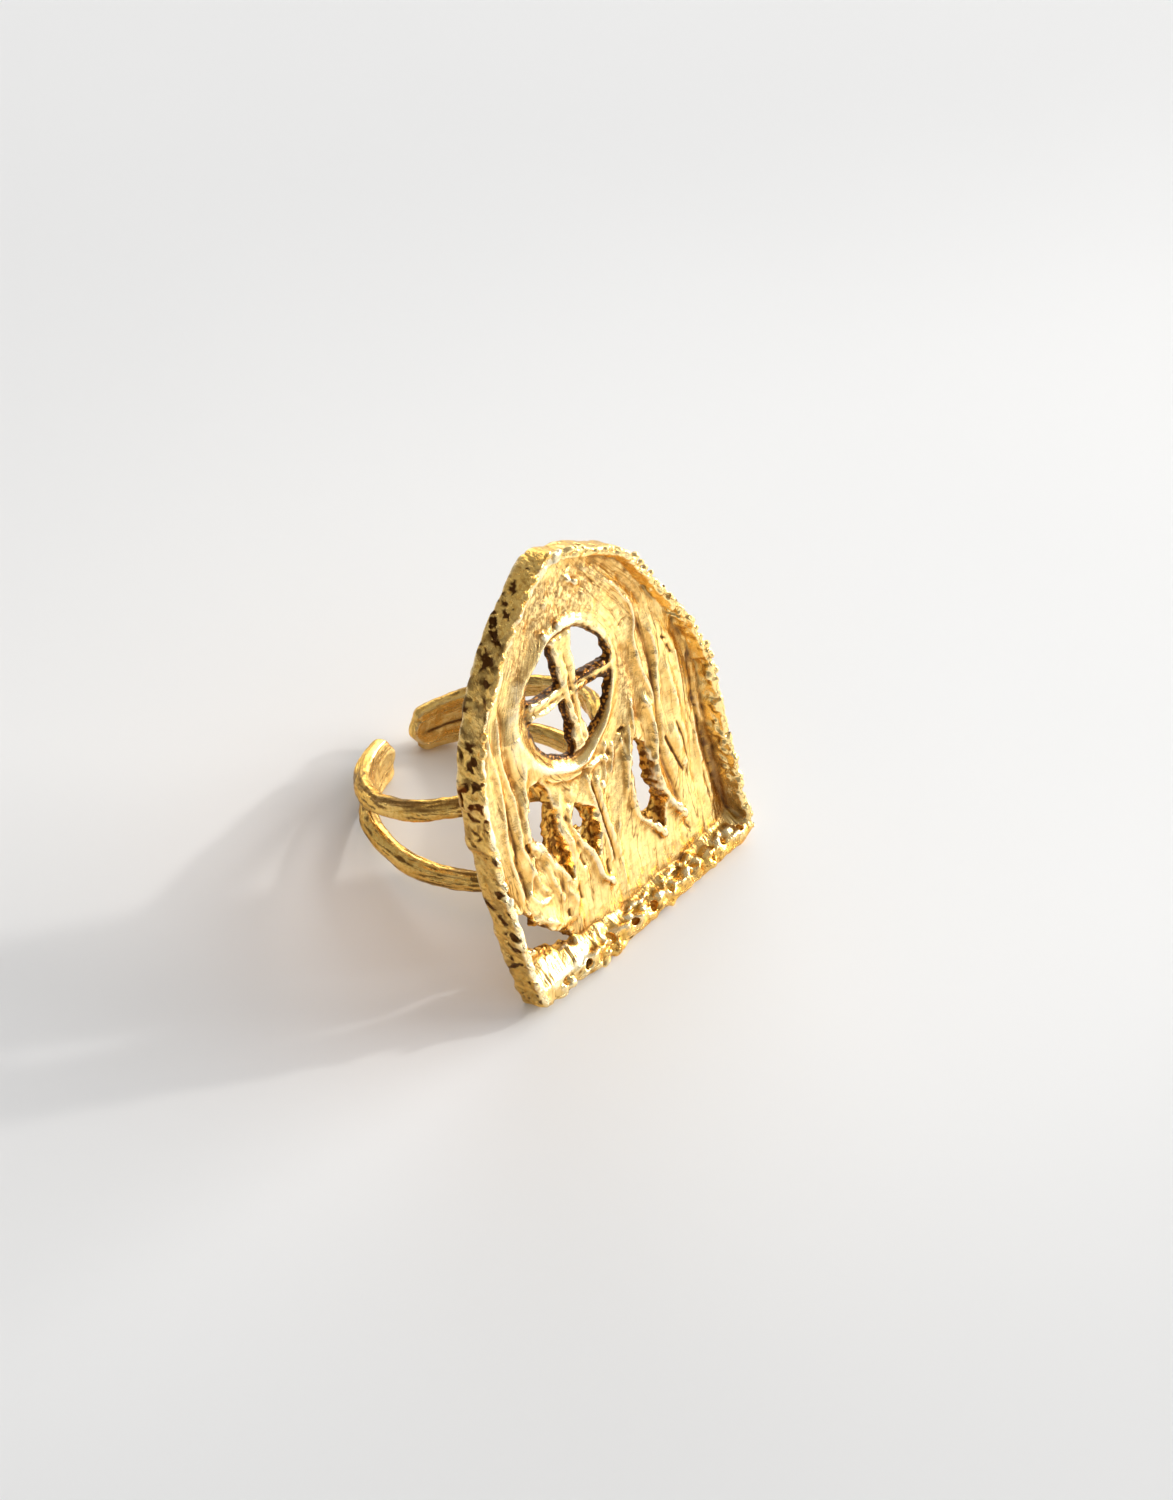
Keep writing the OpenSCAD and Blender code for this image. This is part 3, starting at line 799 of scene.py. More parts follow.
# nubs along the left crest, each in its place above, and low swells below
for v, r in ((34.6, 0.30), (33.95, 0.36), (33.3, 0.30), (32.0, 0.38), (30.6, 0.26), (28.9, 0.38), (27.85, 0.36), (25.7, 0.34),
             (24.5, 0.36), (22.6, 0.26), (20.9, 0.28), (18.6, 0.30), (16.9, 0.26), (15.2, 0.30), (12.9, 0.26), (10.9, 0.30),
             (8.6, 0.26), (6.9, 0.28), (4.6, 0.26), (2.6, 0.28)):
    row = int(np.abs(turns[:int(14 * 9), 1] - v)[9:].argmin()) + 9
    c, tg, into = on_rim(lengths[row], 0.28, crest_n(lengths[row]) - 0.02)
    blob(c, (r * (1.2 if v > 22 else 1.9), r * 0.9, r * 0.85), tilted(tg, into), 0.16)
# small lumps over the top and down the right
s = APEX + 0.2
while s < BASE_FROM - 0.3:
    r = rng.uniform(0.22, 0.33)
    c, tg, into = on_rim(s, rng.uniform(0.06, 0.34), crest_n(s) + rng.uniform(-0.20, -0.04))
    blob(c, (r * rng.uniform(1.0, 1.6), r * 0.9, r * rng.uniform(0.8, 1.1)), tilted(tg, into), 0.12)
    s += rng.uniform(0.60, 1.50)
# its inside wall is lumpy too
s = RIGHT_FROM + 0.6
while s < BASE_FROM - 0.6:
    r = rng.uniform(0.22, 0.42)
    c, tg, into = on_rim(s, rng.uniform(0.50, 0.66), rng.uniform(1.25, 2.1))
    blob(c, (r * rng.uniform(0.9, 1.7), r * 0.6, r), tilted(tg, into), 0.14)
    s += rng.uniform(0.35, 0.8)
# the base's lower edge is rolled
s = BASE_FROM + 0.8
while s < TOTAL - 3.6:
    c, tg, into = on_rim(s, rng.uniform(0.02, 0.12), rng.uniform(1.62, 1.86))
    blob(c, (1.05, rng.uniform(0.44, 0.56), rng.uniform(0.46, 0.56)), tilted(tg, into * 1.0), 0.22)
    s += rng.uniform(0.7, 1.0)
# nuggets heaped on it: the crest, a middle row, and a thin jagged inner row
for depth, n0, r0, r1, gap in ((0.52, 2.02, 0.46, 0.72, 1.30), (1.12, 1.72, 0.40, 0.60, 1.35),
                               (1.58, 1.36, 0.20, 0.36, 0.60)):
    s = BASE_FROM + 0.3
    while s < TOTAL - 1.0:
        r = rng.uniform(r0, r1)
        c, tg, into = on_rim(s, depth + rng.uniform(-0.16, 0.16), n0 + rng.uniform(-0.14, 0.10))
        if not (depth > 1.1 and c[0] < 8.5) and not (c[0] > 21 and depth > 1.5):
            blob(c, (r * rng.uniform(0.9, 1.5), r * rng.uniform(0.7, 1.0), r * rng.uniform(0.7, 1.0)),
                 tilted(tg, into), 0.14 + 0.16 * (c[0] > 15.5))
        s += gap * rng.uniform(0.6, 1.6)
# dark pits between the nuggets
s = BASE_FROM + 1.2
while s < TOTAL - 1.2:
    r = rng.uniform(0.22, 0.36)
    c, tg, into = on_rim(s, rng.uniform(0.70, 1.25), rng.uniform(2.05, 2.35))
    r = r * (0.7 if c[0] > 17 else 1.0)
    blob(c, (r * 1.3, r, r * 1.9), tilted(tg, into), 0.05, add=False)
    s += rng.uniform(1.7, 3.6)
s = APEX + 0.5
while s < BASE_FROM - 0.5:
    r = rng.uniform(0.14, 0.22)
    c, tg, into = on_rim(s, rng.uniform(0.2, 0.7), crest_n(s) + rng.uniform(-0.02, 0.18))
    blob(c, (r, r * 1.5, r * 1.3), tilted(tg, into), 0.08, add=False)
    s += rng.uniform(2.0, 4.5)
# crumbled skin over the base and the right crest
zone = (on_base * (1 - step(inner, 1.9, 2.3)) + 0.6 * step(arc, APEX, APEX + 2) * (1 - on_base) * (1 - step(inner, 1.2, 1.6)))
high = step(GN, 1.0, 1.5)[None, None, :]
lump = 0.30 * np.abs(noise3(AX, 0.80, 47)) + 0.16 * np.abs(noise3(AX, 0.42, 48)) - 0.20
zone = zone * (1 - 0.6 * step(X, 19.0, 22.0) * (1 - step(Y, 3.0, 4.0)))
field += (zone.astype(F32)[..., None] * high * lump * 0.20).astype(F32)
del lump
# strokes across the outer wall, as a graver leaves them
SCARS = []


def scar(c, radii, fr, k):
    blob(c, radii, fr, k, add=False)
    SCARS.append((c, radii, fr))


# [height up the wall's length, height over the back, half length, half width, turn]
WALL_CUTS = [
    (35.2, 1.10, 0.45, 0.12, 0.3), (34.1, 0.95, 0.40, 0.16, 0.5), (33.5, 0.75, 0.60, 0.22, 0.6), (32.9, 1.45, 0.45, 0.14, 0.9),
    (32.3, 0.60, 0.50, 0.20, 0.4), (31.8, 1.10, 0.55, 0.20, 0.7), (31.3, 1.75, 0.35, 0.16, 0.8), (30.8, 0.70, 0.40, 0.22, 0.5),
    (30.5, 1.35, 0.55, 0.24, 0.6), (29.9, 1.95, 0.40, 0.18, 0.7), (29.8, 0.95, 0.45, 0.20, 0.4), (29.1, 1.50, 0.50, 0.24, 0.5),
    (28.6, 0.90, 0.40, 0.20, 0.9), (28.1, 1.75, 0.42, 0.18, 0.2), (27.15, 1.70, 0.24, 0.34, 0.2), (26.9, 0.75, 0.40, 0.14, 0.6),
    (26.1, 1.30, 0.42, 0.16, 0.3), (25.5, 1.85, 0.24, 0.22, 0.0), (24.9, 1.20, 0.38, 0.18, 0.9), (24.4, 0.60, 0.34, 0.12, 0.5),
    (23.9, 1.75, 0.30, 0.24, 0.2), (23.2, 1.35, 0.30, 0.14, 1.2), (22.05, 2.00, 0.22, 0.46, 0.0), (21.6, 0.75, 0.26, 0.30, 0.3),
    (20.6, 0.50, 0.60, 0.10, 0.1), (20.25, 1.65, 0.18, 0.52, 0.2), (19.9, 2.15, 0.34, 0.14, 0.3), (19.2, 1.05, 0.30, 0.14, 0.8),
    (18.15, 2.02, 0.52, 0.34, 0.6), (17.5, 1.36, 0.36, 0.16, 0.7), (16.6, 0.70, 0.32, 0.10, 0.5), (15.55, 2.08, 0.46, 0.26, 0.7),
    (14.1, 1.00, 0.36, 0.20, 0.5), (13.4, 1.94, 0.26, 0.16, 0.6), (12.0, 2.10, 0.44, 0.27, 0.7), (10.4, 0.45, 0.44, 0.15, 0.4),
    (9.9, 2.05, 0.20, 0.14, 0.0), (9.25, 1.30, 0.44, 0.14, 0.6), (7.9, 2.05, 0.42, 0.24, 0.7), (7.0, 1.30, 0.42, 0.13, 0.5),
    (6.2, 2.05, 0.24, 0.13, 0.3), (5.3, 0.80, 0.30, 0.10, 0.6), (4.5, 1.20, 0.12, 0.50, 0.5), (4.05, 1.75, 0.13, 0.40, 0.7),
    (3.3, 0.75, 0.34, 0.10, 0.2), (2.75, 2.00, 0.24, 0.14, 0.3), (2.3, 1.55, 0.30, 0.18, 0.9), (1.75, 1.25, 0.38, 0.13, 0.2),
    (1.6, 2.00, 0.22, 0.16, 0.5), (1.3, 0.70, 0.34, 0.11, 0.4),
    (1.05, 1.60, 0.24, 0.09, 0.3), (0.80, 1.15, 0.22, 0.08, 1.0), (0.60, 1.80, 0.18, 0.10, 0.5), (0.45, 0.85, 0.20, 0.09, 0.2),
    (0.95, 0.55, 0.18, 0.08, 0.9),
]
for v, n0, a, b, turn in WALL_CUTS:
    row = int(np.abs(turns[:int(14 * 9), 1] - v)[9:].argmin()) + 9
    c, tg, into = on_rim(lengths[row], -0.04, n0)
    fr = np.array([[tg[0] * math.cos(turn), tg[1] * math.cos(turn), -math.sin(turn)], [into[0], into[1], 0],
                   [tg[0] * math.sin(turn), tg[1] * math.sin(turn), math.cos(turn)]])
    scar(c, (1.25 * a, 0.18, 1.3 * b), fr, 0.04)
# strokes on the rest of the outer wall
s = place(14) + 0.6
while s < TOTAL - 0.6:
    c, tg, into = on_rim(s, rng.uniform(-0.08, 0.02), rng.uniform(0.5, 2.0))
    scar(c, (rng.uniform(0.09, 0.17), rng.uniform(0.16, 0.24), rng.uniform(0.35, 0.95)), tilted(tg, into), 0.05)
    s += rng.uniform(1.4, 3.0)
# the chewed lower corner
for _ in range(18):
    c, tg, into = on_rim(rng.uniform(1.6, 4.2), rng.uniform(-0.06, 0.0), rng.uniform(1.0, 2.1))
    scar(c, (rng.uniform(0.12, 0.34), rng.uniform(0.16, 0.22), rng.uniform(0.07, 0.15)), tilted(tg, into), 0.04)
# drops at the ends of the long ridges
for u, v, r in ((11.25, 4.75, 0.40), (17.6, 5.7, 0.46), (18.15, 4.95, 0.46), (20.9, 5.1, 0.44), (20.1, 6.2, 0.42), (12.3, 12.9, 0.30),
                (12.6, 31.1, 0.30), (9.95, 28.7, 0.36), (8.25, 28.7, 0.30)):
    iu, iv = np.searchsorted(GU, u), np.searchsorted(GV, v)
    blob(np.array([u, v, height[iu, iv] + 0.02]), (r * 0.8, r * 1.35, r * 0.75),
         np.array([[0.94, 0.34, 0], [-0.34, 0.94, 0], [0, 0, 1.0]]), 0.15)

# the worn flat it stands on
ground = ((Y + 0.45) * CL - 0.15).astype(F32)[..., None] + N3 * F32(SL)
field = smax(field, -ground, F32(0.05))
# closed at the grid's edge
field[[0, -1]] = 1
field[:, [0, -1]] = 1
field[:, :, [0, -1]] = 1

soft = blur(field, max(2, int(0.38 / H)))
wide = blur(field, max(4, int(0.95 / H)))


def face_marks(loc):
    h, org = H, np.array([GU[0], GV[0], GN[0]])
    g = (loc - org) / h
    hollow = np.clip(-sample(soft, g) / 0.085, -1, 1)
    deep = np.clip(-sample(wide, g) / 0.26, -1, 1)
    gi = np.clip(np.round(g[:, :2]).astype(int), 0, np.array(X.shape) - 1)
    heaped = sample2(on_base.astype(F32), g[:, :2]) * step(loc[:, 2], 1.3, 1.6)
    gaps = np.clip(0.25 - 0.55 * step(loc[:, 0], 15.0, 19.0) + 1.3 * noise2(loc[:, 0], loc[:, 1] + loc[:, 2], 1.2, 1.2, 71), -0.60, 0.95)
    hollow = np.where(hollow > 0, np.clip(hollow * (1 + gaps * heaped), 0, 1), hollow)
    inn = inner[gi[:, 0], gi[:, 1]]
    lft = on_left[gi[:, 0], gi[:, 1]]
    high_up = 0.25 * step(loc[:, 1], 15.0, 20.0)
    outer_wall = (1 - step(inn, 0.12 + 0.6 * high_up, 0.42 + 0.6 * high_up)) * (1 - step(loc[:, 2], 2.0 + 2.2 * high_up, 2.4 + 2.2 * high_up))
    streak, _, _ = near_line_points(loc[:, :2], spline([
        (24.3, 17.9), (24.45, 14.6), (24.75, 11.8), (25.2, 8.8), (25.65, 6.2),
        (26.1, 4.0), (26.7, 1.9), (27.1, 0.3)], 6))
    dark1, _, _ = near_line_points(loc[:, :2], spline([(19.5, 22.4), (19.8, 20.0), (19.6, 16.5), (19.6, 13.0),
                                                     (20.1, 9.0), (20.6, 6.4)], 6))
    dark2, _, _ = near_line_points(loc[:, :2], spline([(17.4, 21.6), (17.7, 19.2), (17.3, 17.0)], 6))
    front = step(loc[:, 2], 0.35, 0.8)
    ragged = np.clip(1 + 0.55 * noise2(loc[:, 0], loc[:, 1], 0.6, 1.8, 46), 0.15, 2.2)
    # painted shade: a dark streak along the groove before the right wall
    groove_shade = 1.2 * np.exp(-(streak / (0.30 * ragged)) ** 2) * (0.45 + 0.55 * step(loc[:, 1], 2.5, 7.0))
    dark = 0.75 * np.exp(-(dark1 / (0.36 * ragged)) ** 2) + 0.60 * np.exp(-(dark2 / 0.50) ** 2)
    ux, vy = loc[:, 0], loc[:, 1]

    def patch(u, v, a, b):
        return np.exp(-((ux - u) / a) ** 2 - ((vy - v) / b) ** 2)

    sand = (1.2 * patch(17.0, 19.6, 1.3, 3.4) + 1.0 * patch(19.6, 21.0, 0.8, 2.4) + 0.6 * patch(11.5, 14.6, 3.6, 1.6)
            + 1.0 * patch(13.0, 30.2, 4.5, 2.6) + 0.9 * patch(8.0, 31.0, 3.6, 2.6) + 0.7 * patch(18.6, 26.5, 2.2, 2.6) + 0.45 * patch(14.2, 11.0, 1.3, 3.0)
            + 1.1 * patch(4.9, 27.4, 0.75, 1.7) + 0.9 * patch(3.9, 24.6, 0.4, 1.6) + 0.35 * patch(1.0, 16.0, 1.2, 6.0) + 0.4 * patch(20.0, 10.5, 0.8, 4.0) + 0.35 * patch(12.0, 9.0, 0.8, 3.5))
    sand = np.clip(sand, 0, 1) * step(loc[:, 2], 0.5, 0.85)
    # painted shade on the walls of the openings, wider on the window's right side, and on the pocket floors
    gap = np.abs(opening)[gi[:, 0], gi[:, 1]]
    reach = 0.26 * np.exp(-(phi[gi[:, 0], gi[:, 1]] / 0.95) ** 2) * (1 - step(sample2(w_out.astype(F32), g[:, :2]), 0.9, 1.3))
    cut = (1 - step(gap, 0.20 + reach, 0.40 + reach)) * (1 - step(loc[:, 2], 0.78 + 1.2 * reach, 0.98 + 1.2 * reach) * 0.95)
    low = (1 - step(loc[:, 2], 0.60, 0.90)) * step(loc[:, 2], 0.12, 0.2) * step(inn, 1.2, 1.6) * step(vy, 4.6, 5.2)
    cut = np.maximum(cut, 0.85 * low)
    tray = step(loc[:, 2], 0.35, 0.6) * step(inn, 0.8, 1.1)
    on_side = side_on[gi[:, 0], gi[:, 1]]
    # painted warm shade on the inside of the right wall, in the rim's cove
    warm_shade = on_side * step(inn, 0.35, 0.7) * (1 - step(inn, 1.35, 1.8)) * step(loc[:, 2], 0.9, 1.2) * (1 - step(loc[:, 2], 1.9, 2.35))
    warm_shade = warm_shade * (1 - 0.80 * step(vy, 20.0, 24.0))
    amber = on_side * (1 - step(inn, 1.0, 1.4)) * step(loc[:, 2], 0.9, 1.4)
    heap = on_base[gi[:, 0], gi[:, 1]] * step(loc[:, 2], 1.10, 1.30) * (1 - step(inn, 1.9, 2.2)) * step(ux, 5.0, 8.0) * (1 - 0.6 * np.exp(-((inn - 1.60) / 0.22) ** 2))
    heap = heap * np.clip(0.80 + 0.15 * step(ux, 13.0, 17.0) + 0.4 * noise2(ux, vy + loc[:, 2], 0.8, 0.8, 56), 0, 1)
    # painted highlights: the left crest's line, the top and right crest, the collar's crown, the base's jagged inner
    # row and the listed places
    dash = np.clip(0.80 + 0.5 * noise2(sample2(arc.astype(F32), g[:, :2]), 0 * vy, 1.1, 1, 50), 0, 1)
    broad = 0.26 * step(loc[:, 1], 6.0, 9.0) * (1 - step(loc[:, 1], 20.0, 24.0))
    line = step(loc[:, 2], 1.95, 2.15) * step(inn, 0.20, 0.34) * (1 - step(inn, 0.62 + broad, 0.85 + broad)) * lft * dash
    top_line = step(loc[:, 2], 2.0, 2.3) * (1 - step(inn, 0.7, 0.9)) * (1 - lft) * np.clip(1.6 - 0.18 * (33.5 - vy), 0, 1) * step(dash, 0.5, 0.9)
    wo, ph = sample2(w_out.astype(F32), g[:, :2]), phi[gi[:, 0], gi[:, 1]]
    rim_at = sample2(crest_at.astype(F32), g[:, :2])
    around = np.maximum(step(ph, 1.1, 1.6), 1 - step(ph, -2.1, -1.7))
    most = np.maximum(step(ph, 2.4, 2.9), 1 - step(ph, -1.9, -1.5))
    crown = np.exp(-((wo - rim_at) / 0.30) ** 2) * most * step(loc[:, 2], 1.1, 1.35)
    crown = crown * np.clip(0.72 + 0.4 * noise2(ph * 5.5, wo, 0.7, 0.5, 60), 0.2, 1)
    jagged = sample2(on_base.astype(F32), g[:, :2]) * (1 - 0.55 * step(ux, 17.0, 20.0)) * np.exp(-((inn - 1.56) / 0.24) ** 2) * step(loc[:, 2], 1.15, 1.3)
    highlight_map = np.maximum(np.maximum(line, top_line), np.maximum(0.9 * crown, 0.85 * jagged))
    broken = np.clip(0.70 + 0.55 * noise2(ux, vy, 0.55, 0.55, 63), 0, 1)
    for pts, w in PAINTED_HIGHLIGHTS:
        d, _, _ = near_line_points(loc[:, :2], spline(pts, 5))
        highlight_map = np.maximum(highlight_map, np.exp(-(d / w) ** 2) * step(loc[:, 2], 1.05, 1.3) * (0.5 if w > 0.5 else 1.0) * broken)
    near_cut = 1 - step(gap, 0.0, 0.22)
    highlight_map = highlight_map * (1 - 0.5 * near_cut)
    # a painted highlight along the back edge of the left wall
    back_line = np.exp(-((loc[:, 2] - 0.10) / 0.13) ** 2) * (1 - step(inn, 0.30, 0.45)) * lft
    highlight_map = np.maximum(highlight_map, 0.62 * back_line * np.clip(0.75 + 0.4 * noise2(vy, ux, 0.9, 0.9, 72), 0.1, 1))
    scars = np.zeros(len(loc))
    for c, radii, fr in SCARS:
        near = np.nonzero(np.abs(loc - c).max(1) < 1.1)[0]
        q = np.sqrt(sum(((loc[near] - c) @ e / r) ** 2 for r, e in zip(radii, fr)))
        q = q * (1 + 0.24 * noise2(loc[near, 0] + loc[near, 1], loc[near, 2], 0.24, 0.24, 62))
        scars[near] = np.maximum(scars[near], 1 - step(q, 1.02, 1.32))
    on_wall = (1 - step(inn, 0.25, 0.45)) * (1 - step(loc[:, 2], 2.2, 2.4))
    ws, wn = sample2(arc.astype(F32), g[:, :2]), loc[:, 2]
    # dark flakes, thick on the upper half
    flake = noise2(ws + 0.5 * wn, wn, 0.52, 0.42, 44)
    flake = step(flake + 0.5 * noise2(ws, wn, 0.22, 0.22, 61), 0.30, 0.60) * on_wall
    flake = flake * (0.50 + 0.50 * step(vy, 15.0, 21.0)) * (1 - 0.85 * step(vy, 31.5, 33.0)) * (0.35 + 0.65 * lft)
    blotch = np.clip(0.85 + 0.30 * noise2(ws, wn, 0.4, 0.4, 54), 0.4, 1)
    scars = np.maximum(scars * (1 - step(inn, 0.5, 0.7)) * 1.15, 0.66 * flake) * blotch
    slope_in = step(wo, 0.15, 0.5) * (1 - step(wo, rim_at - 0.75, rim_at - 0.35)) * around * step(rim_at, 0.8, 1.1)
    slope_in = 1.05 * slope_in * np.clip(0.55 + 0.6 * noise2(ux, vy, 0.7, 1.4, 55), 0.1, 1) * step(loc[:, 2], 0.6, 0.75)
    fx = np.where(inn < 0.35, 0.9 * ws + 0.3 * wn, sample2(flow.astype(F32), g[:, :2]))
    fy = np.where(inn < 0.35, 5.5 * wn, vy)
    return {
        "hollow": hollow,
        "deep": deep,
        # the outer wall: tarnish and painted shade, heavier on the left side away from the key light
        "wall": outer_wall * (0.35 + 0.65 * lft),
        "groove_shade": np.clip(groove_shade * front, 0, 1),
        "cut": cut,
        "sand": np.maximum(sand, 0.85 * np.clip(slope_in, 0, 1)),
        "edge": highlight_map,
        "scar": scars,
        "slope_shade": sample2(shade_slope_map, g[:, :2]) * step(loc[:, 2], 0.7, 0.9) * step(inn, 0.75, 1.0) * (1 - 0.65 * patch(3.0, 22.5, 2.6, 6.0)),
        "amber": amber,
        "heap": heap,
        "valley": sample2(valley_a, g[:, :2]) * tray,
        "valley2": np.maximum(np.maximum(sample2(valley_b, g[:, :2]) * tray, dark * front), np.maximum(slope_in, 0.75 * patch(1.6, 24.2, 0.42, 1.8) * front)),
        "warm_shade": warm_shade,
        "glint": step(wo, 0.5, 1.1),
        "fx": fx,
        "fy": fy,
    }


def sample2(f, g):
    """Value of a flat grid at fractional places."""
    g = np.clip(g, 0, np.array(f.shape) - 1.001)
    i = g.astype(int)
    t = g - i
    return (f[i[:, 0], i[:, 1]] * (1 - t[:, 0]) * (1 - t[:, 1]) + f[i[:, 0] + 1, i[:, 1]] * t[:, 0] * (1 - t[:, 1])
            + f[i[:, 0], i[:, 1] + 1] * (1 - t[:, 0]) * t[:, 1] + f[i[:, 0] + 1, i[:, 1] + 1] * t[:, 0] * t[:, 1])


def near_line_points(p, line):
    best = np.full(len(p), 1e3)
    for a, b in zip(line[:-1, :2], line[1:, :2]):
        d = b - a
        t = np.clip(((p - a) @ d) / max(d @ d, 1e-12), 0, 1)
        best = np.minimum(best, np.linalg.norm(p - a - t[:, None] * d, axis=1))
    return best, None, None


face = make_piece("face", field, AX, 196000, face_marks)
del field, soft, wide, fine, mid, big

# ---------------------------------------------------------------- the shank
FINGER_R, WIRE_R, GAP = 8.75, 0.85, 1.95
LOOP_R = FINGER_R + 0.7
CX, CY, CZ = 11.57, 11.04, -10.4
SPLIT, BEND = math.radians(9.9), math.radians(124.4)
NEAR_END, FAR_END = math.radians(1.7), math.radians(-12.6)
HS = 0.115
SU = np.arange(0.6, 22.6, HS)
SV = np.arange(4.6, 17.6, HS)
SN = np.arange(-20.9, 0.9, HS)
SAX = (SU, SV, SN)
PU = SU.astype(F32)[:, None, None]
PV = SV.astype(F32)[None, :, None]
PN = SN.astype(F32)[None, None, :]
n_end = -CZ - (-LOOP_R + LOOP_R * (1 - math.cos(BEND)) * math.cos(SPLIT))
RUN = (n_end + 0.35) / (math.sin(BEND) * math.cos(SPLIT))

sh_mid = noise3(SAX, 0.55, 51)
sh_fine = noise3(SAX, 0.26, 52)
sh_big = noise3(SAX, 1.5, 53)
shank = np.full((len(SU), len(SV), len(SN)), 5.0, F32)
for side in (-1, 1):
    a = side * SPLIT
    dy = PV - F32(CY + side * GAP / 2)
    dz = PN - F32(CZ - LOOP_R)
    qy = dy * F32(math.cos(a)) - dz * F32(math.sin(a))
    qz = dy * F32(math.sin(a)) + dz * F32(math.cos(a)) - F32(LOOP_R)
    qx = PU - F32(CX) + 0 * qz
    th = np.arctan2(-qx, -qz)
    for th0, th1 in ((NEAR_END + 0.15, BEND), (-BEND, FAR_END - 0.15)):
        tc = np.clip(th, th0, th1)
        # the near end is beaten a little thinner
        loop = F32(LOOP_R) - F32(0.30 if th0 > 0 else 0.0) * (1 - step(tc, 0.15, 1.0)).astype(F32)
        px, pz = -loop * np.sin(tc), -loop * np.cos(tc)
        ex, ez = qx - px, qz - pz
        rad = ex * (-np.sin(tc)) + ez * (-np.cos(tc))      # outwards from the loop's middle
        tan = ex * (-np.cos(tc)) + ez * np.sin(tc)
        ang = np.arctan2(qy + 0 * rad, rad)
        length = tc * LOOP_R
        # hammered: flats and long marks that follow the wire
        wide_r = np.hypot(rad * F32(1.02), qy * F32(0.97))
        dist = (np.sqrt(wide_r ** 2 + tan ** 2) - F32(WIRE_R - 0.02)).astype(F32)
        skin = np.nonzero(np.abs(dist) < 0.45)
        ls, an = length[skin], ang[skin]
        dist[skin] += (0.035 * noise2(ls, an, 2.6, 0.9, 60 + side) + 0.022 * noise2(ls, an, 1.1, 0.6, 64 + side)
                       + 0.030 * noise2(ls, an, 3.4, 0.20, 68 + side))
        # the straight run into the back of the face
        end = th1 if th1 > 0 else th0
        sg = 1 if end > 0 else -1
        ox, oz = -LOOP_R * math.sin(end), -LOOP_R * math.cos(end)
        tx, tz = -math.cos(end) * sg, math.sin(end) * sg
        rx, rz = qx - F32(ox), qz - F32(oz)
        along = rx * F32(tx) + rz * F32(tz)
        ac = np.clip(along, 0, RUN)
        lx, lz = rx - ac * F32(tx), rz - ac * F32(tz)
        flare = F32(0.42) * np.exp(-((RUN - 0.45 - ac) / 0.75) ** 2)
        run = (np.sqrt(lx ** 2 + lz ** 2 + qy ** 2) - F32(WIRE_R - 0.02) - flare).astype(F32)
        skin = np.nonzero(np.abs(run) < 0.45)
        ls, an = ac[skin], np.arctan2((qy + 0 * run)[skin], lx[skin])
        run[skin] += (0.03 * noise2(ls, an, 2.2, 0.8, 71 + side) + 0.028 * noise2(ls, an, 3.0, 0.20, 75 + side))
        wire = smin(dist.astype(F32), run.astype(F32), F32(0.12))
        shank = smin(shank, wire, F32(0.28))
        del tc, px, pz, ex, ez, rad, tan, ang, length, wide_r, dist, rx, rz, along, ac, lx, lz, flare, run, wire
# the joined terminals
fu, fn = PU - F32(CX), PN - F32(CZ)
rr = np.hypot(fu, fn) + 0 * PV
th = np.arctan2(-fu, -fn) + 0 * PV
for th0, th1 in ((NEAR_END, math.radians(27)), (math.radians(-30), FAR_END)):
    over = np.maximum(th0 + 0.055 - th, th - th1 + 0.055) * F32(LOOP_R) + F32(0.72) * (np.abs(PV - F32(CY)) / F32(1.1)) ** 2
    q1 = np.abs(rr - F32(LOOP_R - (0.30 if th0 > 0 else 0.12))) - F32(0.28 if th0 > 0 else 0.34)
    q2 = np.abs(PV - F32(CY)) - F32(0.78) + 0 * rr
    q3 = over
    blk = np.sqrt(np.maximum(q1, 0) ** 2 + np.maximum(q2, 0) ** 2 + np.maximum(q3, 0) ** 2) \
        + np.minimum(np.maximum(np.maximum(q1, q2), q3), 0) - F32(0.42)
    shank = smin(shank, blk.astype(F32), F32(0.35))
# solder fills the gap between the wires a little further, below their tops
for th0, th1 in ((math.radians(18), math.radians(34)), (math.radians(-56), math.radians(-20))):
    over = np.maximum(th0 - th, th - th1) * F32(LOOP_R)
    q1 = np.abs(rr - F32(LOOP_R - 0.34)) - F32(0.32)
    q2 = np.abs(PV - F32(CY)) - F32(0.9) + 0 * rr
    web = np.maximum(np.maximum(q1, q2), over)
    shank = smin(shank, web.astype(F32), F32(0.30))
shank = shank + F32(0.012) * sh_mid + F32(0.010) * sh_fine + F32(0.024) * sh_big
# the finger's side is flatter, as it is finished on a mandrel
bore = (F32(FINGER_R) - rr) + F32(0.02) * sh_mid
shank = smax(shank, bore.astype(F32), F32(0.22))
ground = (PV + F32(0.45)) * F32(CL) + PN * F32(SL) - F32(0.15)
shank = smax(shank, -(ground + 0 * rr), F32(0.05))
shank[[0, -1]] = 1
shank[:, [0, -1]] = 1
shank[:, :, [0, -1]] = 1
soft = blur(shank, max(2, int(0.35 / HS)))


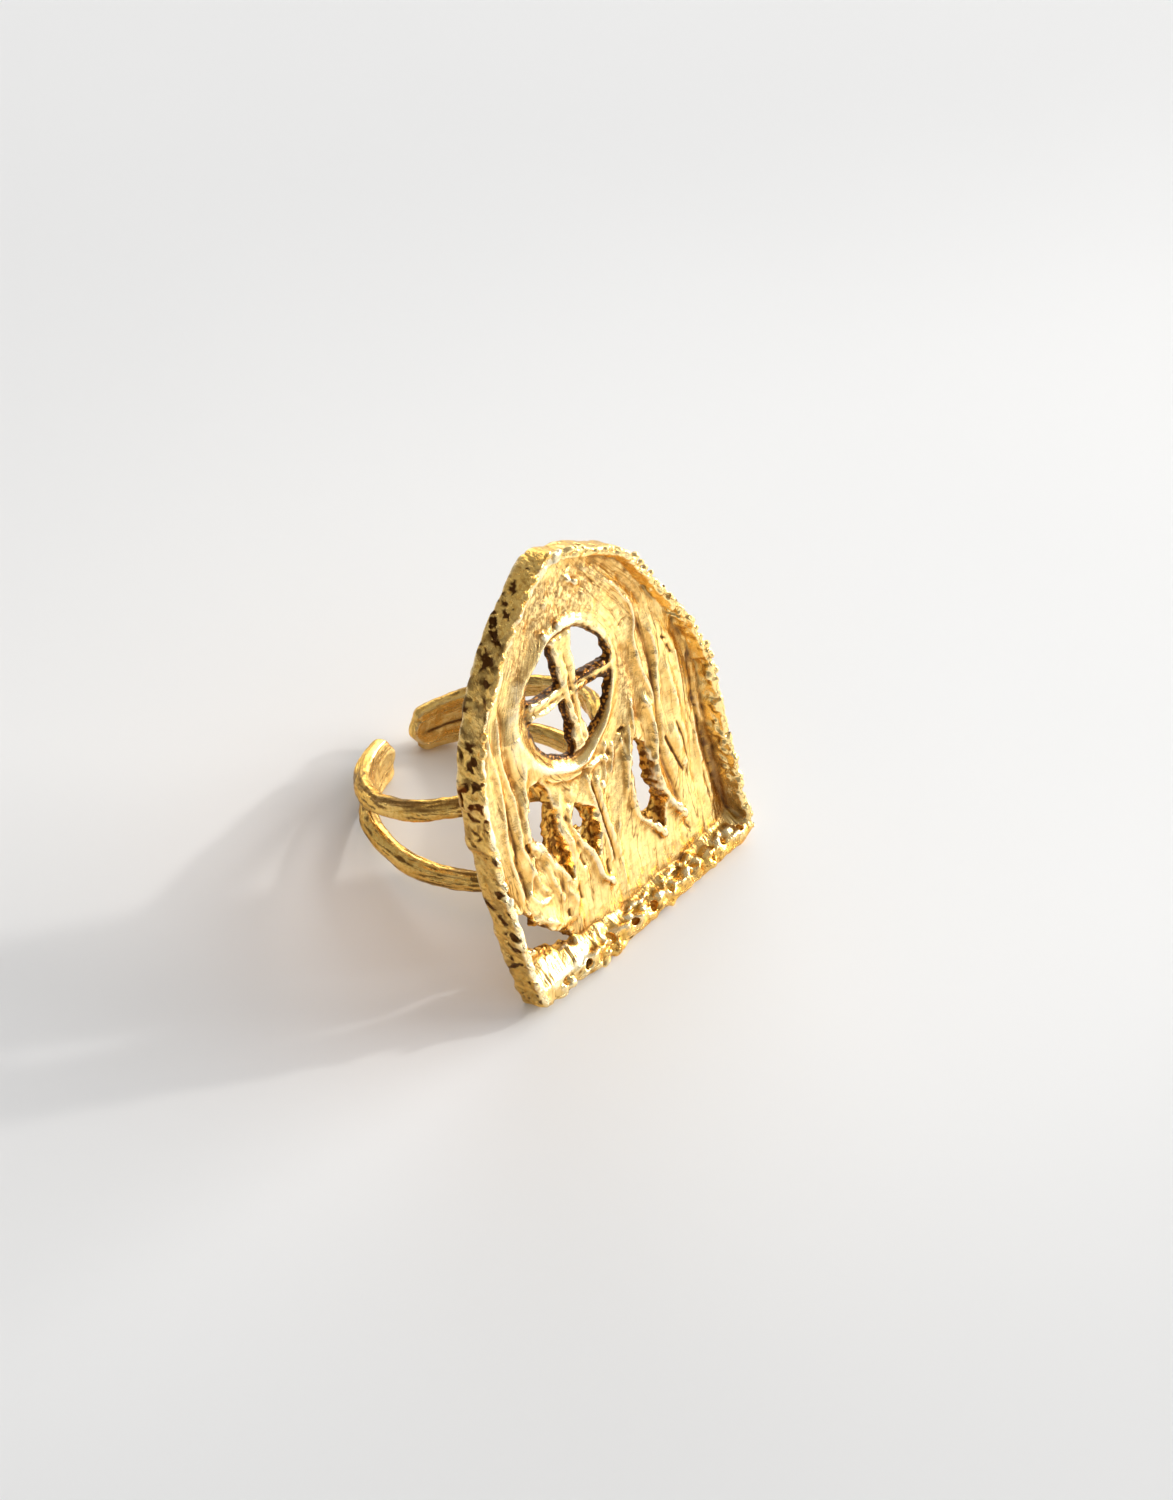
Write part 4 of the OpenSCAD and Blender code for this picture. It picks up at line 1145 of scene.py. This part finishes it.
def shank_marks(loc):
    org = np.array([SU[0], SV[0], SN[0]])
    g = (loc - org) / HS
    hollow = np.clip(-(sample(soft, g) - 0.035) / 0.10, -1, 1)
    du, dn = loc[:, 0] - CX, loc[:, 2] - CZ
    r = np.hypot(du, dn)
    inner_face = 1 - step(r, FINGER_R + 0.05, FINGER_R + 0.4)
    bend = np.arctan2(-du, -dn)
    split_at = np.abs(loc[:, 1] - CY) - (GAP / 2 + LOOP_R * (1 - np.cos(bend)) * math.sin(SPLIT))
    turn = np.arctan2(split_at, r - LOOP_R)
    drawn = step(noise2(turn * 0.85, bend * LOOP_R, 0.24, 2.6, 81), 0.7, 1.5)
    drawn = np.maximum(drawn, 0.8 * step(noise2(turn * 0.85, bend * LOOP_R, 0.40, 1.6, 82), 0.9, 1.7))
    drawn = np.maximum(drawn, step(noise2(turn * 0.85, bend * LOOP_R, 0.11, 0.55, 83), 0.55, 1.1)) * (1 - inner_face)
    drawn = drawn * (0.30 + 0.70 * step(np.abs(bend), 0.45, 0.75))
    # the wires' outer sides get tarnish and painted shade; the far terminal's inside gets painted warm shade
    return {"hollow": hollow, "deep": hollow * 0.5, "wall": 0.95 * (1 - inner_face), "groove_shade": 0 * r, "cut": 0 * r, "sand": 0 * r,
            "edge": 0 * r, "valley": 0 * r, "valley2": 0 * r,
            "heap": 0 * r,
            "scar": 0.66 * drawn + 0.9 * np.exp(-((loc[:, 1] - CY) / 0.15) ** 2) * inner_face * step(-bend, 0.25, 0.4) * (1 - step(-bend, 1.1, 1.4)),
            "slope_shade": 0 * r, "amber": 0 * r, "glint": 0 * r,
            "warm_shade": 0.60 * inner_face * step(-bend, 0.1, 0.2),
            "fx": turn * 0.85, "fy": bend * LOOP_R}


shank_piece = make_piece("shank", shank, SAX, 150000, shank_marks)
del shank, soft, sh_mid, sh_fine, sh_big


# ---------------------------------------------------------------- materials
def link(nt, a, b):
    nt.links.new(a, b)


def gold():
    mat = bpy.data.materials.new("gold_plate")
    mat.use_nodes = True
    nt = mat.node_tree
    nd = nt.nodes
    nd.clear()
    out = nd.new("ShaderNodeOutputMaterial")
    bsdf = nd.new("ShaderNodeBsdfPrincipled")
    link(nt, bsdf.outputs[0], out.inputs[0])
    bsdf.inputs["Metallic"].default_value = 1.0
    co = nd.new("ShaderNodeTexCoord")

    def attr(name):
        a = nd.new("ShaderNodeAttribute")
        a.attribute_name = name
        return a.outputs["Fac"]

    def noise(scale, detail=3.0, rough=0.55, dist=0.0):
        n = nd.new("ShaderNodeTexNoise")
        n.inputs["Scale"].default_value = scale
        n.inputs["Detail"].default_value = detail
        n.inputs["Roughness"].default_value = rough
        n.inputs["Distortion"].default_value = dist
        link(nt, co.outputs["Object"], n.inputs["Vector"])
        return n.outputs["Fac"]

    def math_(op, a, b=None, clamp=False):
        m = nd.new("ShaderNodeMath")
        m.operation = op
        m.use_clamp = clamp
        for i, x in enumerate((a, b)):
            if x is None:
                continue
            if isinstance(x, (int, float)):
                m.inputs[i].default_value = x
            else:
                link(nt, x, m.inputs[i])
        return m.outputs[0]

    def remap(x, a, b, c=0.0, d=1.0):
        m = nd.new("ShaderNodeMapRange")
        m.inputs["From Min"].default_value = a
        m.inputs["From Max"].default_value = b
        m.inputs["To Min"].default_value = c
        m.inputs["To Max"].default_value = d
        link(nt, x, m.inputs["Value"])
        return m.outputs[0]

    def mix(fac, a, b):
        m = nd.new("ShaderNodeMix")
        m.data_type = "RGBA"
        link(nt, fac, m.inputs[0])
        for s, x in ((m.inputs[6], a), (m.inputs[7], b)):
            if isinstance(x, tuple):
                s.default_value = (*x, 1)
            else:
                link(nt, x, s)
        return m.outputs[2]

    hollow, deep, wall, groove_shade, cut = (attr(k) for k in ("hollow", "deep", "wall", "groove_shade", "cut"))
    sand = attr("sand")
    highlight_attr = attr("edge")
    cloud = noise(420, 4)
    grain = noise(3000, 4, 0.6)
    speck = noise(6500, 2)
    comb = nd.new("ShaderNodeCombineXYZ")
    link(nt, math_("MULTIPLY", attr("fx"), 1.0), comb.inputs[0])
    link(nt, math_("MULTIPLY", attr("fy"), 0.11), comb.inputs[1])

    def lines(scale, detail, seed):
        m = nd.new("ShaderNodeMapping")
        m.inputs["Location"].default_value = (seed, seed * 1.7, 0)
        link(nt, comb.outputs[0], m.inputs["Vector"])
        n = nd.new("ShaderNodeTexNoise")
        n.inputs["Scale"].default_value = scale
        n.inputs["Detail"].default_value = detail
        link(nt, m.outputs[0], n.inputs["Vector"])
        return n.outputs["Fac"]

    fold_a, fold_b, fold_c = lines(1.3, 3.0, 3.1), lines(3.2, 3.0, 11.7), lines(0.9, 2.0, 23.3)
    hair = remap(math_("ABSOLUTE", math_("SUBTRACT", fold_a, 0.5)), 0.0, 0.022, 1, 0)
    hair = math_("MULTIPLY", hair, remap(fold_c, 0.43, 0.56), True)
    valley, valley2, warm_shade = attr("valley"), attr("valley2"), attr("warm_shade")
    scar, slope_shade, amber, heap = attr("scar"), attr("slope_shade"), attr("amber"), attr("heap")
    base = mix(remap(cloud, 0.35, 0.68), (1.0, 0.74, 0.32), (0.99, 0.68, 0.25))
    base = mix(math_("MULTIPLY", remap(grain, 0.50, 0.70), 0.35), base, (0.78, 0.46, 0.11))
    base = mix(math_("MULTIPLY", remap(fold_b, 0.48, 0.36), 0.50), base, (0.62, 0.33, 0.07))
    base = mix(math_("MULTIPLY", sand, 0.35), base, (0.84, 0.60, 0.29))
    sandy = math_("MULTIPLY", sand, remap(grain, 0.42, 0.56))
    base = mix(math_("MULTIPLY", sandy, 0.95), base, (0.40, 0.23, 0.080))
    # painted shade on slopes that face away from the key light
    base = mix(math_("MULTIPLY", slope_shade, 0.72), base, (0.66, 0.345, 0.070))
    base = mix(math_("MULTIPLY", hair, 0.95), base, (0.18, 0.070, 0.010))
    # tarnish gathers in the valleys and in the hollows, and the outer wall gets tarnish and painted shade
    base = mix(math_("MULTIPLY", remap(valley2, 0.15, 0.90), 0.60), base, (0.50, 0.25, 0.050))
    base = mix(math_("MULTIPLY", remap(valley, 0.32, 1.0), 0.85), base, (0.24, 0.088, 0.010))
    dirt = math_("ADD", remap(hollow, 0.15, 0.75), remap(deep, 0.30, 1.0, 0, 0.4), True)
    dirt = math_("MULTIPLY", dirt, remap(grain, 0.25, 0.60, 0.6, 1.0), True)
    base = mix(math_("MULTIPLY", dirt, 0.85), base, (0.39, 0.185, 0.038))
    pit = remap(hollow, 0.55, 1.0)
    base = mix(math_("MULTIPLY", pit, 0.90, True), base, (0.07, 0.020, 0.003))
    # the outer wall's darker colour is tarnish and painted shade, heavier on the left
    walld = math_("MULTIPLY", wall, remap(cloud, 0.30, 0.66, 0.7, 1.0))
    base = mix(walld, base, mix(remap(grain, 0.44, 0.66), (1.0, 0.64, 0.170), (0.80, 0.43, 0.078)))
    base = mix(math_("MULTIPLY", math_("MULTIPLY", wall, remap(fold_b, 0.46, 0.36)), 0.45, True), base, (0.34, 0.150, 0.024))
    # painted warm shade in the rim's cove and inside the far terminal
    base = mix(math_("MULTIPLY", warm_shade, remap(grain, 0.35, 0.62, 0.60, 1.0)), base, (0.52, 0.30, 0.060))
    base = mix(math_("MULTIPLY", amber, 0.68), base, (0.86, 0.63, 0.265))
    scarred = math_("MULTIPLY", math_("MULTIPLY", scar, 1.25), remap(grain, 0.25, 0.45, 0.82, 1.0), True)
    base = mix(scarred, base, (0.085, 0.028, 0.004))
    base = mix(math_("MULTIPLY", heap, 0.92), base, mix(remap(grain, 0.50, 0.60), (0.95, 0.56, 0.125), (0.50, 0.21, 0.028)))
    # painted shade on the opening walls and pocket floors, speckled dark, with painted golden glints in the slots
    cutd = math_("MULTIPLY", cut, 1.25, True)
    glint = attr("glint")
    walls = mix(remap(noise(3600, 1.5), 0.53, 0.61), (0.050, 0.016, 0.003), (0.50, 0.195, 0.022))
    walls = mix(glint, walls, mix(remap(noise(1900, 2), 0.44, 0.56), (0.16, 0.060, 0.009), (0.78, 0.42, 0.080)))
    base = mix(cutd, base, walls)
    # painted shade along the groove before the right wall
    groove_shaded = math_("MULTIPLY", groove_shade, remap(cloud, 0.30, 0.60, 0.6, 1.0))
    base = mix(groove_shaded, base, (0.150, 0.068, 0.036))
    # wear and a painted sheen lighten the proud edges, and painted highlights whiten the marked places
    kept = math_("MULTIPLY", math_("SUBTRACT", 1.0, cutd, True), math_("SUBTRACT", 1.0, scarred, True))
    kept = math_("MULTIPLY", kept, math_("SUBTRACT", 1.0, math_("MULTIPLY", math_("ADD", amber, heap, True), 0.82), True))
    wear_and_sheen = math_("MULTIPLY", math_("MULTIPLY", remap(hollow, -0.22, -0.80), 0.55, True), kept, True)
    wear_and_sheen = math_("MULTIPLY", wear_and_sheen, math_("SUBTRACT", 1.0, math_("MULTIPLY", wall, 0.85), True), True)
    base = mix(wear_and_sheen, base, (1.0, 0.86, 0.55))
    # painted highlight on the marked proud places
    highlight_paint = math_("MULTIPLY", math_("MULTIPLY", highlight_attr, remap(hollow, 0.25, -0.20)), kept, True)
    base = mix(math_("MULTIPLY", highlight_paint, 0.90), base, (1.0, 0.925, 0.68))
    link(nt, base, bsdf.inputs["Base Color"])
    bsdf.inputs["Specular IOR Level"].default_value = 0.16
    bsdf.inputs["Specular Tint"].default_value = (1.0, 0.82, 0.55, 1)
    # tarnish, the painted shade and the painted highlights are less of a mirror than the plating
    less_metal = math_("ADD", math_("MULTIPLY", cutd, math_("SUBTRACT", 0.62, math_("MULTIPLY", glint, 0.37))), math_("MULTIPLY", pit, 0.45), True)
    less_metal = math_("ADD", less_metal, math_("MULTIPLY", scarred, 0.42), True)
    less_metal = math_("ADD", less_metal, math_("MULTIPLY", groove_shaded, 0.40), True)
    less_metal = math_("ADD", less_metal, math_("MULTIPLY", remap(valley, 0.25, 0.9), 0.35), True)
    less_metal = math_("ADD", less_metal, math_("MULTIPLY", highlight_paint, 0.30), True)
    link(nt, math_("SUBTRACT", 1.0, less_metal, True), bsdf.inputs["Metallic"])
    rough = remap(grain, 0.30, 0.70, 0.15, 0.29)
    rough = math_("ADD", rough, remap(hollow, 0.1, 0.9, 0.0, 0.14))
    rough = math_("ADD", rough, math_("MULTIPLY", cut, 0.10))
    rough = math_("ADD", rough, math_("MULTIPLY", highlight_paint, 0.15))
    link(nt, rough, bsdf.inputs["Roughness"])
    # fine casting grain, and hair lines that follow the folds
    h1 = math_("MULTIPLY", noise(1700, 3), 0.55)
    h2 = math_("MULTIPLY", speck, 0.22)
    h3 = math_("MULTIPLY", fold_b, 0.85)
    h4 = math_("MULTIPLY", fold_a, 0.95)
    h5 = math_("MULTIPLY", hair, -0.16)
    hh = math_("ADD", math_("ADD", math_("ADD", h1, h2), math_("ADD", h3, h4)), h5)
    bump = nd.new("ShaderNodeBump")
    bump.inputs["Strength"].default_value = 0.75
    bump.inputs["Distance"].default_value = 0.00010
    link(nt, hh, bump.inputs["Height"])
    link(nt, bump.outputs[0], bsdf.inputs["Normal"])
    return mat


gold_mat = gold()
for ob in (face, shank_piece):
    ob.data.materials.append(gold_mat)
    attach(ob, "root")
    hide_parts("ring")


# ---------------------------------------------------------------- the stage
def floor_mat():
    mat = bpy.data.materials.new("pale_floor")
    mat.use_nodes = True
    nt = mat.node_tree
    b = nt.nodes["Principled BSDF"]
    co = nt.nodes.new("ShaderNodeTexCoord")
    n = nt.nodes.new("ShaderNodeTexNoise")
    n.inputs["Scale"].default_value = 9
    n.inputs["Detail"].default_value = 3
    nt.links.new(co.outputs["Object"], n.inputs["Vector"])
    r = nt.nodes.new("ShaderNodeValToRGB")
    r.color_ramp.elements[0].position = 0.3
    r.color_ramp.elements[0].color = (0.815, 0.818, 0.822, 1)
    r.color_ramp.elements[1].position = 0.7
    r.color_ramp.elements[1].color = (0.845, 0.848, 0.852, 1)
    nt.links.new(n.outputs["Fac"], r.inputs[0])
    nt.links.new(r.outputs[0], b.inputs["Base Color"])
    b.inputs["Roughness"].default_value = 0.42
    return mat


fm = bpy.data.meshes.new("floor")
fm.from_pydata([(-3, -3, 0), (3, -3, 0), (3, 3, 0), (-3, 3, 0)], [], [(0, 1, 2, 3)])
floor = bpy.data.objects.new("floor", fm)
floor.data.materials.append(floor_mat())
bpy.context.scene.collection.objects.link(floor)


def area(name, where, aim, size, power, color=(1, 1, 1), size_y=None):
    li = bpy.data.lights.new(name, "AREA")
    li.shape = "RECTANGLE" if size_y else "SQUARE"
    li.size = size
    if size_y:
        li.size_y = size_y
    li.energy = power
    li.color = color
    ob = bpy.data.objects.new(name, li)
    ob.location = where
    d = np.array(aim, float) - np.array(where, float)
    from mathutils import Vector
    ob.rotation_mode = "QUATERNION"
    ob.rotation_quaternion = Vector(d).to_track_quat("-Z", "Y")
    bpy.context.scene.collection.objects.link(ob)
    return ob


# low window light from the right, far enough to fall evenly
area("key", (1.47, -0.56, 0.63), (0, 0.01, 0.012), 1.35, 30.5, (1.0, 0.985, 0.955), 0.66)
# a strip of warmer light over the floor from the same side
strip = bpy.data.lights.new("strip", "SPOT")
strip.energy = 46.0
strip.color = (1.0, 0.975, 0.92)
strip.spot_size = math.radians(4.0)
strip.spot_blend = 1.0
strip.shadow_soft_size = 0.05
strip_ob = bpy.data.objects.new("strip", strip)
strip_ob.location = (0.79, -0.335, 0.30)
strip_ob.rotation_mode = "QUATERNION"
from mathutils import Vector
strip_ob.rotation_quaternion = (Vector((0.043, -0.002, 0.0)) - Vector(strip_ob.location)).to_track_quat("-Z", "Y")
bpy.context.scene.collection.objects.link(strip_ob)
far_strip = bpy.data.lights.new("far_strip", "SPOT")
far_strip.energy = 22.0
far_strip.color = (1.0, 0.985, 0.94)
far_strip.spot_size = math.radians(3.7)
far_strip.spot_blend = 1.0
far_strip.shadow_soft_size = 0.05
far_ob = bpy.data.objects.new("far_strip", far_strip)
far_ob.location = (0.81, -0.36, 0.30)
far_ob.rotation_mode = "QUATERNION"
far_ob.rotation_quaternion = (Vector((0.062, -0.016, 0.0)) - Vector(far_ob.location)).to_track_quat("-Z", "Y")
bpy.context.scene.collection.objects.link(far_ob)
# the warm light that the ring throws back into its own shadow
glow = area("glow", (-0.013, 0.011, 0.020), (-0.013, 0.011, 0.0), 0.012, 0.00075, (1.0, 0.50, 0.22))
glow.visible_camera = False
glow.visible_glossy = False
# a low card that the face mirrors
card = area("card", (0.140, -0.160, 0.0012), (0.140, -0.160, 1.0), 0.42, 0.255, (1.0, 0.985, 0.95), 0.31)
card.visible_camera = False

world = bpy.data.worlds.new("studio")
bpy.context.scene.world = world
world.use_nodes = True
wn = world.node_tree
wn.nodes.clear()
wo = wn.nodes.new("ShaderNodeOutputWorld")
bg = wn.nodes.new("ShaderNodeBackground")
way = wn.nodes.new("ShaderNodeTexCoord")


def lobe(direction, a, b, lo, hi):
    """Grey level that goes from lo to hi towards a direction."""
    d = wn.nodes.new("ShaderNodeVectorMath")
    d.operation = "DOT_PRODUCT"
    v = np.array(direction, float)
    d.inputs[1].default_value = tuple(v / np.linalg.norm(v))
    wn.links.new(way.outputs["Generated"], d.inputs[0])
    r = wn.nodes.new("ShaderNodeMapRange")
    r.interpolation_type = "SMOOTHSTEP"
    for k, x in (("From Min", a), ("From Max", b), ("To Min", lo), ("To Max", hi)):
        r.inputs[k].default_value = x
    wn.links.new(d.outputs["Value"], r.inputs["Value"])
    return r.outputs[0]


def plus(a, b):
    m = wn.nodes.new("ShaderNodeMath")
    m.operation = "ADD"
    wn.links.new(a, m.inputs[0])
    wn.links.new(b, m.inputs[1])
    return m.outputs[0]


sky = lobe((0, 0, 1), 0.0, 1.0, 0.385, 0.485)
sky = plus(sky, lobe((0.74, 0.60, 0.26), 0.84, 0.97, 0.0, 2.4))
sky = plus(sky, lobe((-0.75, -0.40, 0.40), 0.15, 0.85, 0.0, -0.08))
sky = plus(sky, lobe((-0.60, 0.70, 0.25), 0.40, 0.95, 0.0, -0.01))
sky = plus(sky, lobe((0.10, -0.96, 0.20), 0.80, 0.97, 0.0, 0.42))
wn.links.new(sky, bg.inputs["Color"])
bg.inputs["Strength"].default_value = 1.0
wn.links.new(bg.outputs[0], wo.inputs[0])

# ---------------------------------------------------------------- the camera
from mathutils import Matrix, Vector

cam_data = bpy.data.cameras.new("camera")
cam = bpy.data.objects.new("camera", cam_data)
bpy.context.scene.collection.objects.link(cam)
right, up, back_axis = Vector((0.5954, -0.7743, 0.2147)), Vector((0.5054, 0.5686, 0.6491)), Vector((-0.6246, -0.2779, 0.7298))
m = Matrix((right, up, back_axis)).transposed().to_4x4()
m.translation = Vector((-0.21827, -0.08982, 0.26936))
cam.matrix_world = m
cam_data.sensor_width = 36
cam_data.lens = 109.7
cam_data.clip_start = 0.01
cam_data.clip_end = 20
bpy.context.scene.camera = cam

bpy.context.scene.view_settings.view_transform = "Standard"
bpy.context.scene.view_settings.look = "None"
bpy.context.scene.view_settings.exposure = 0.0
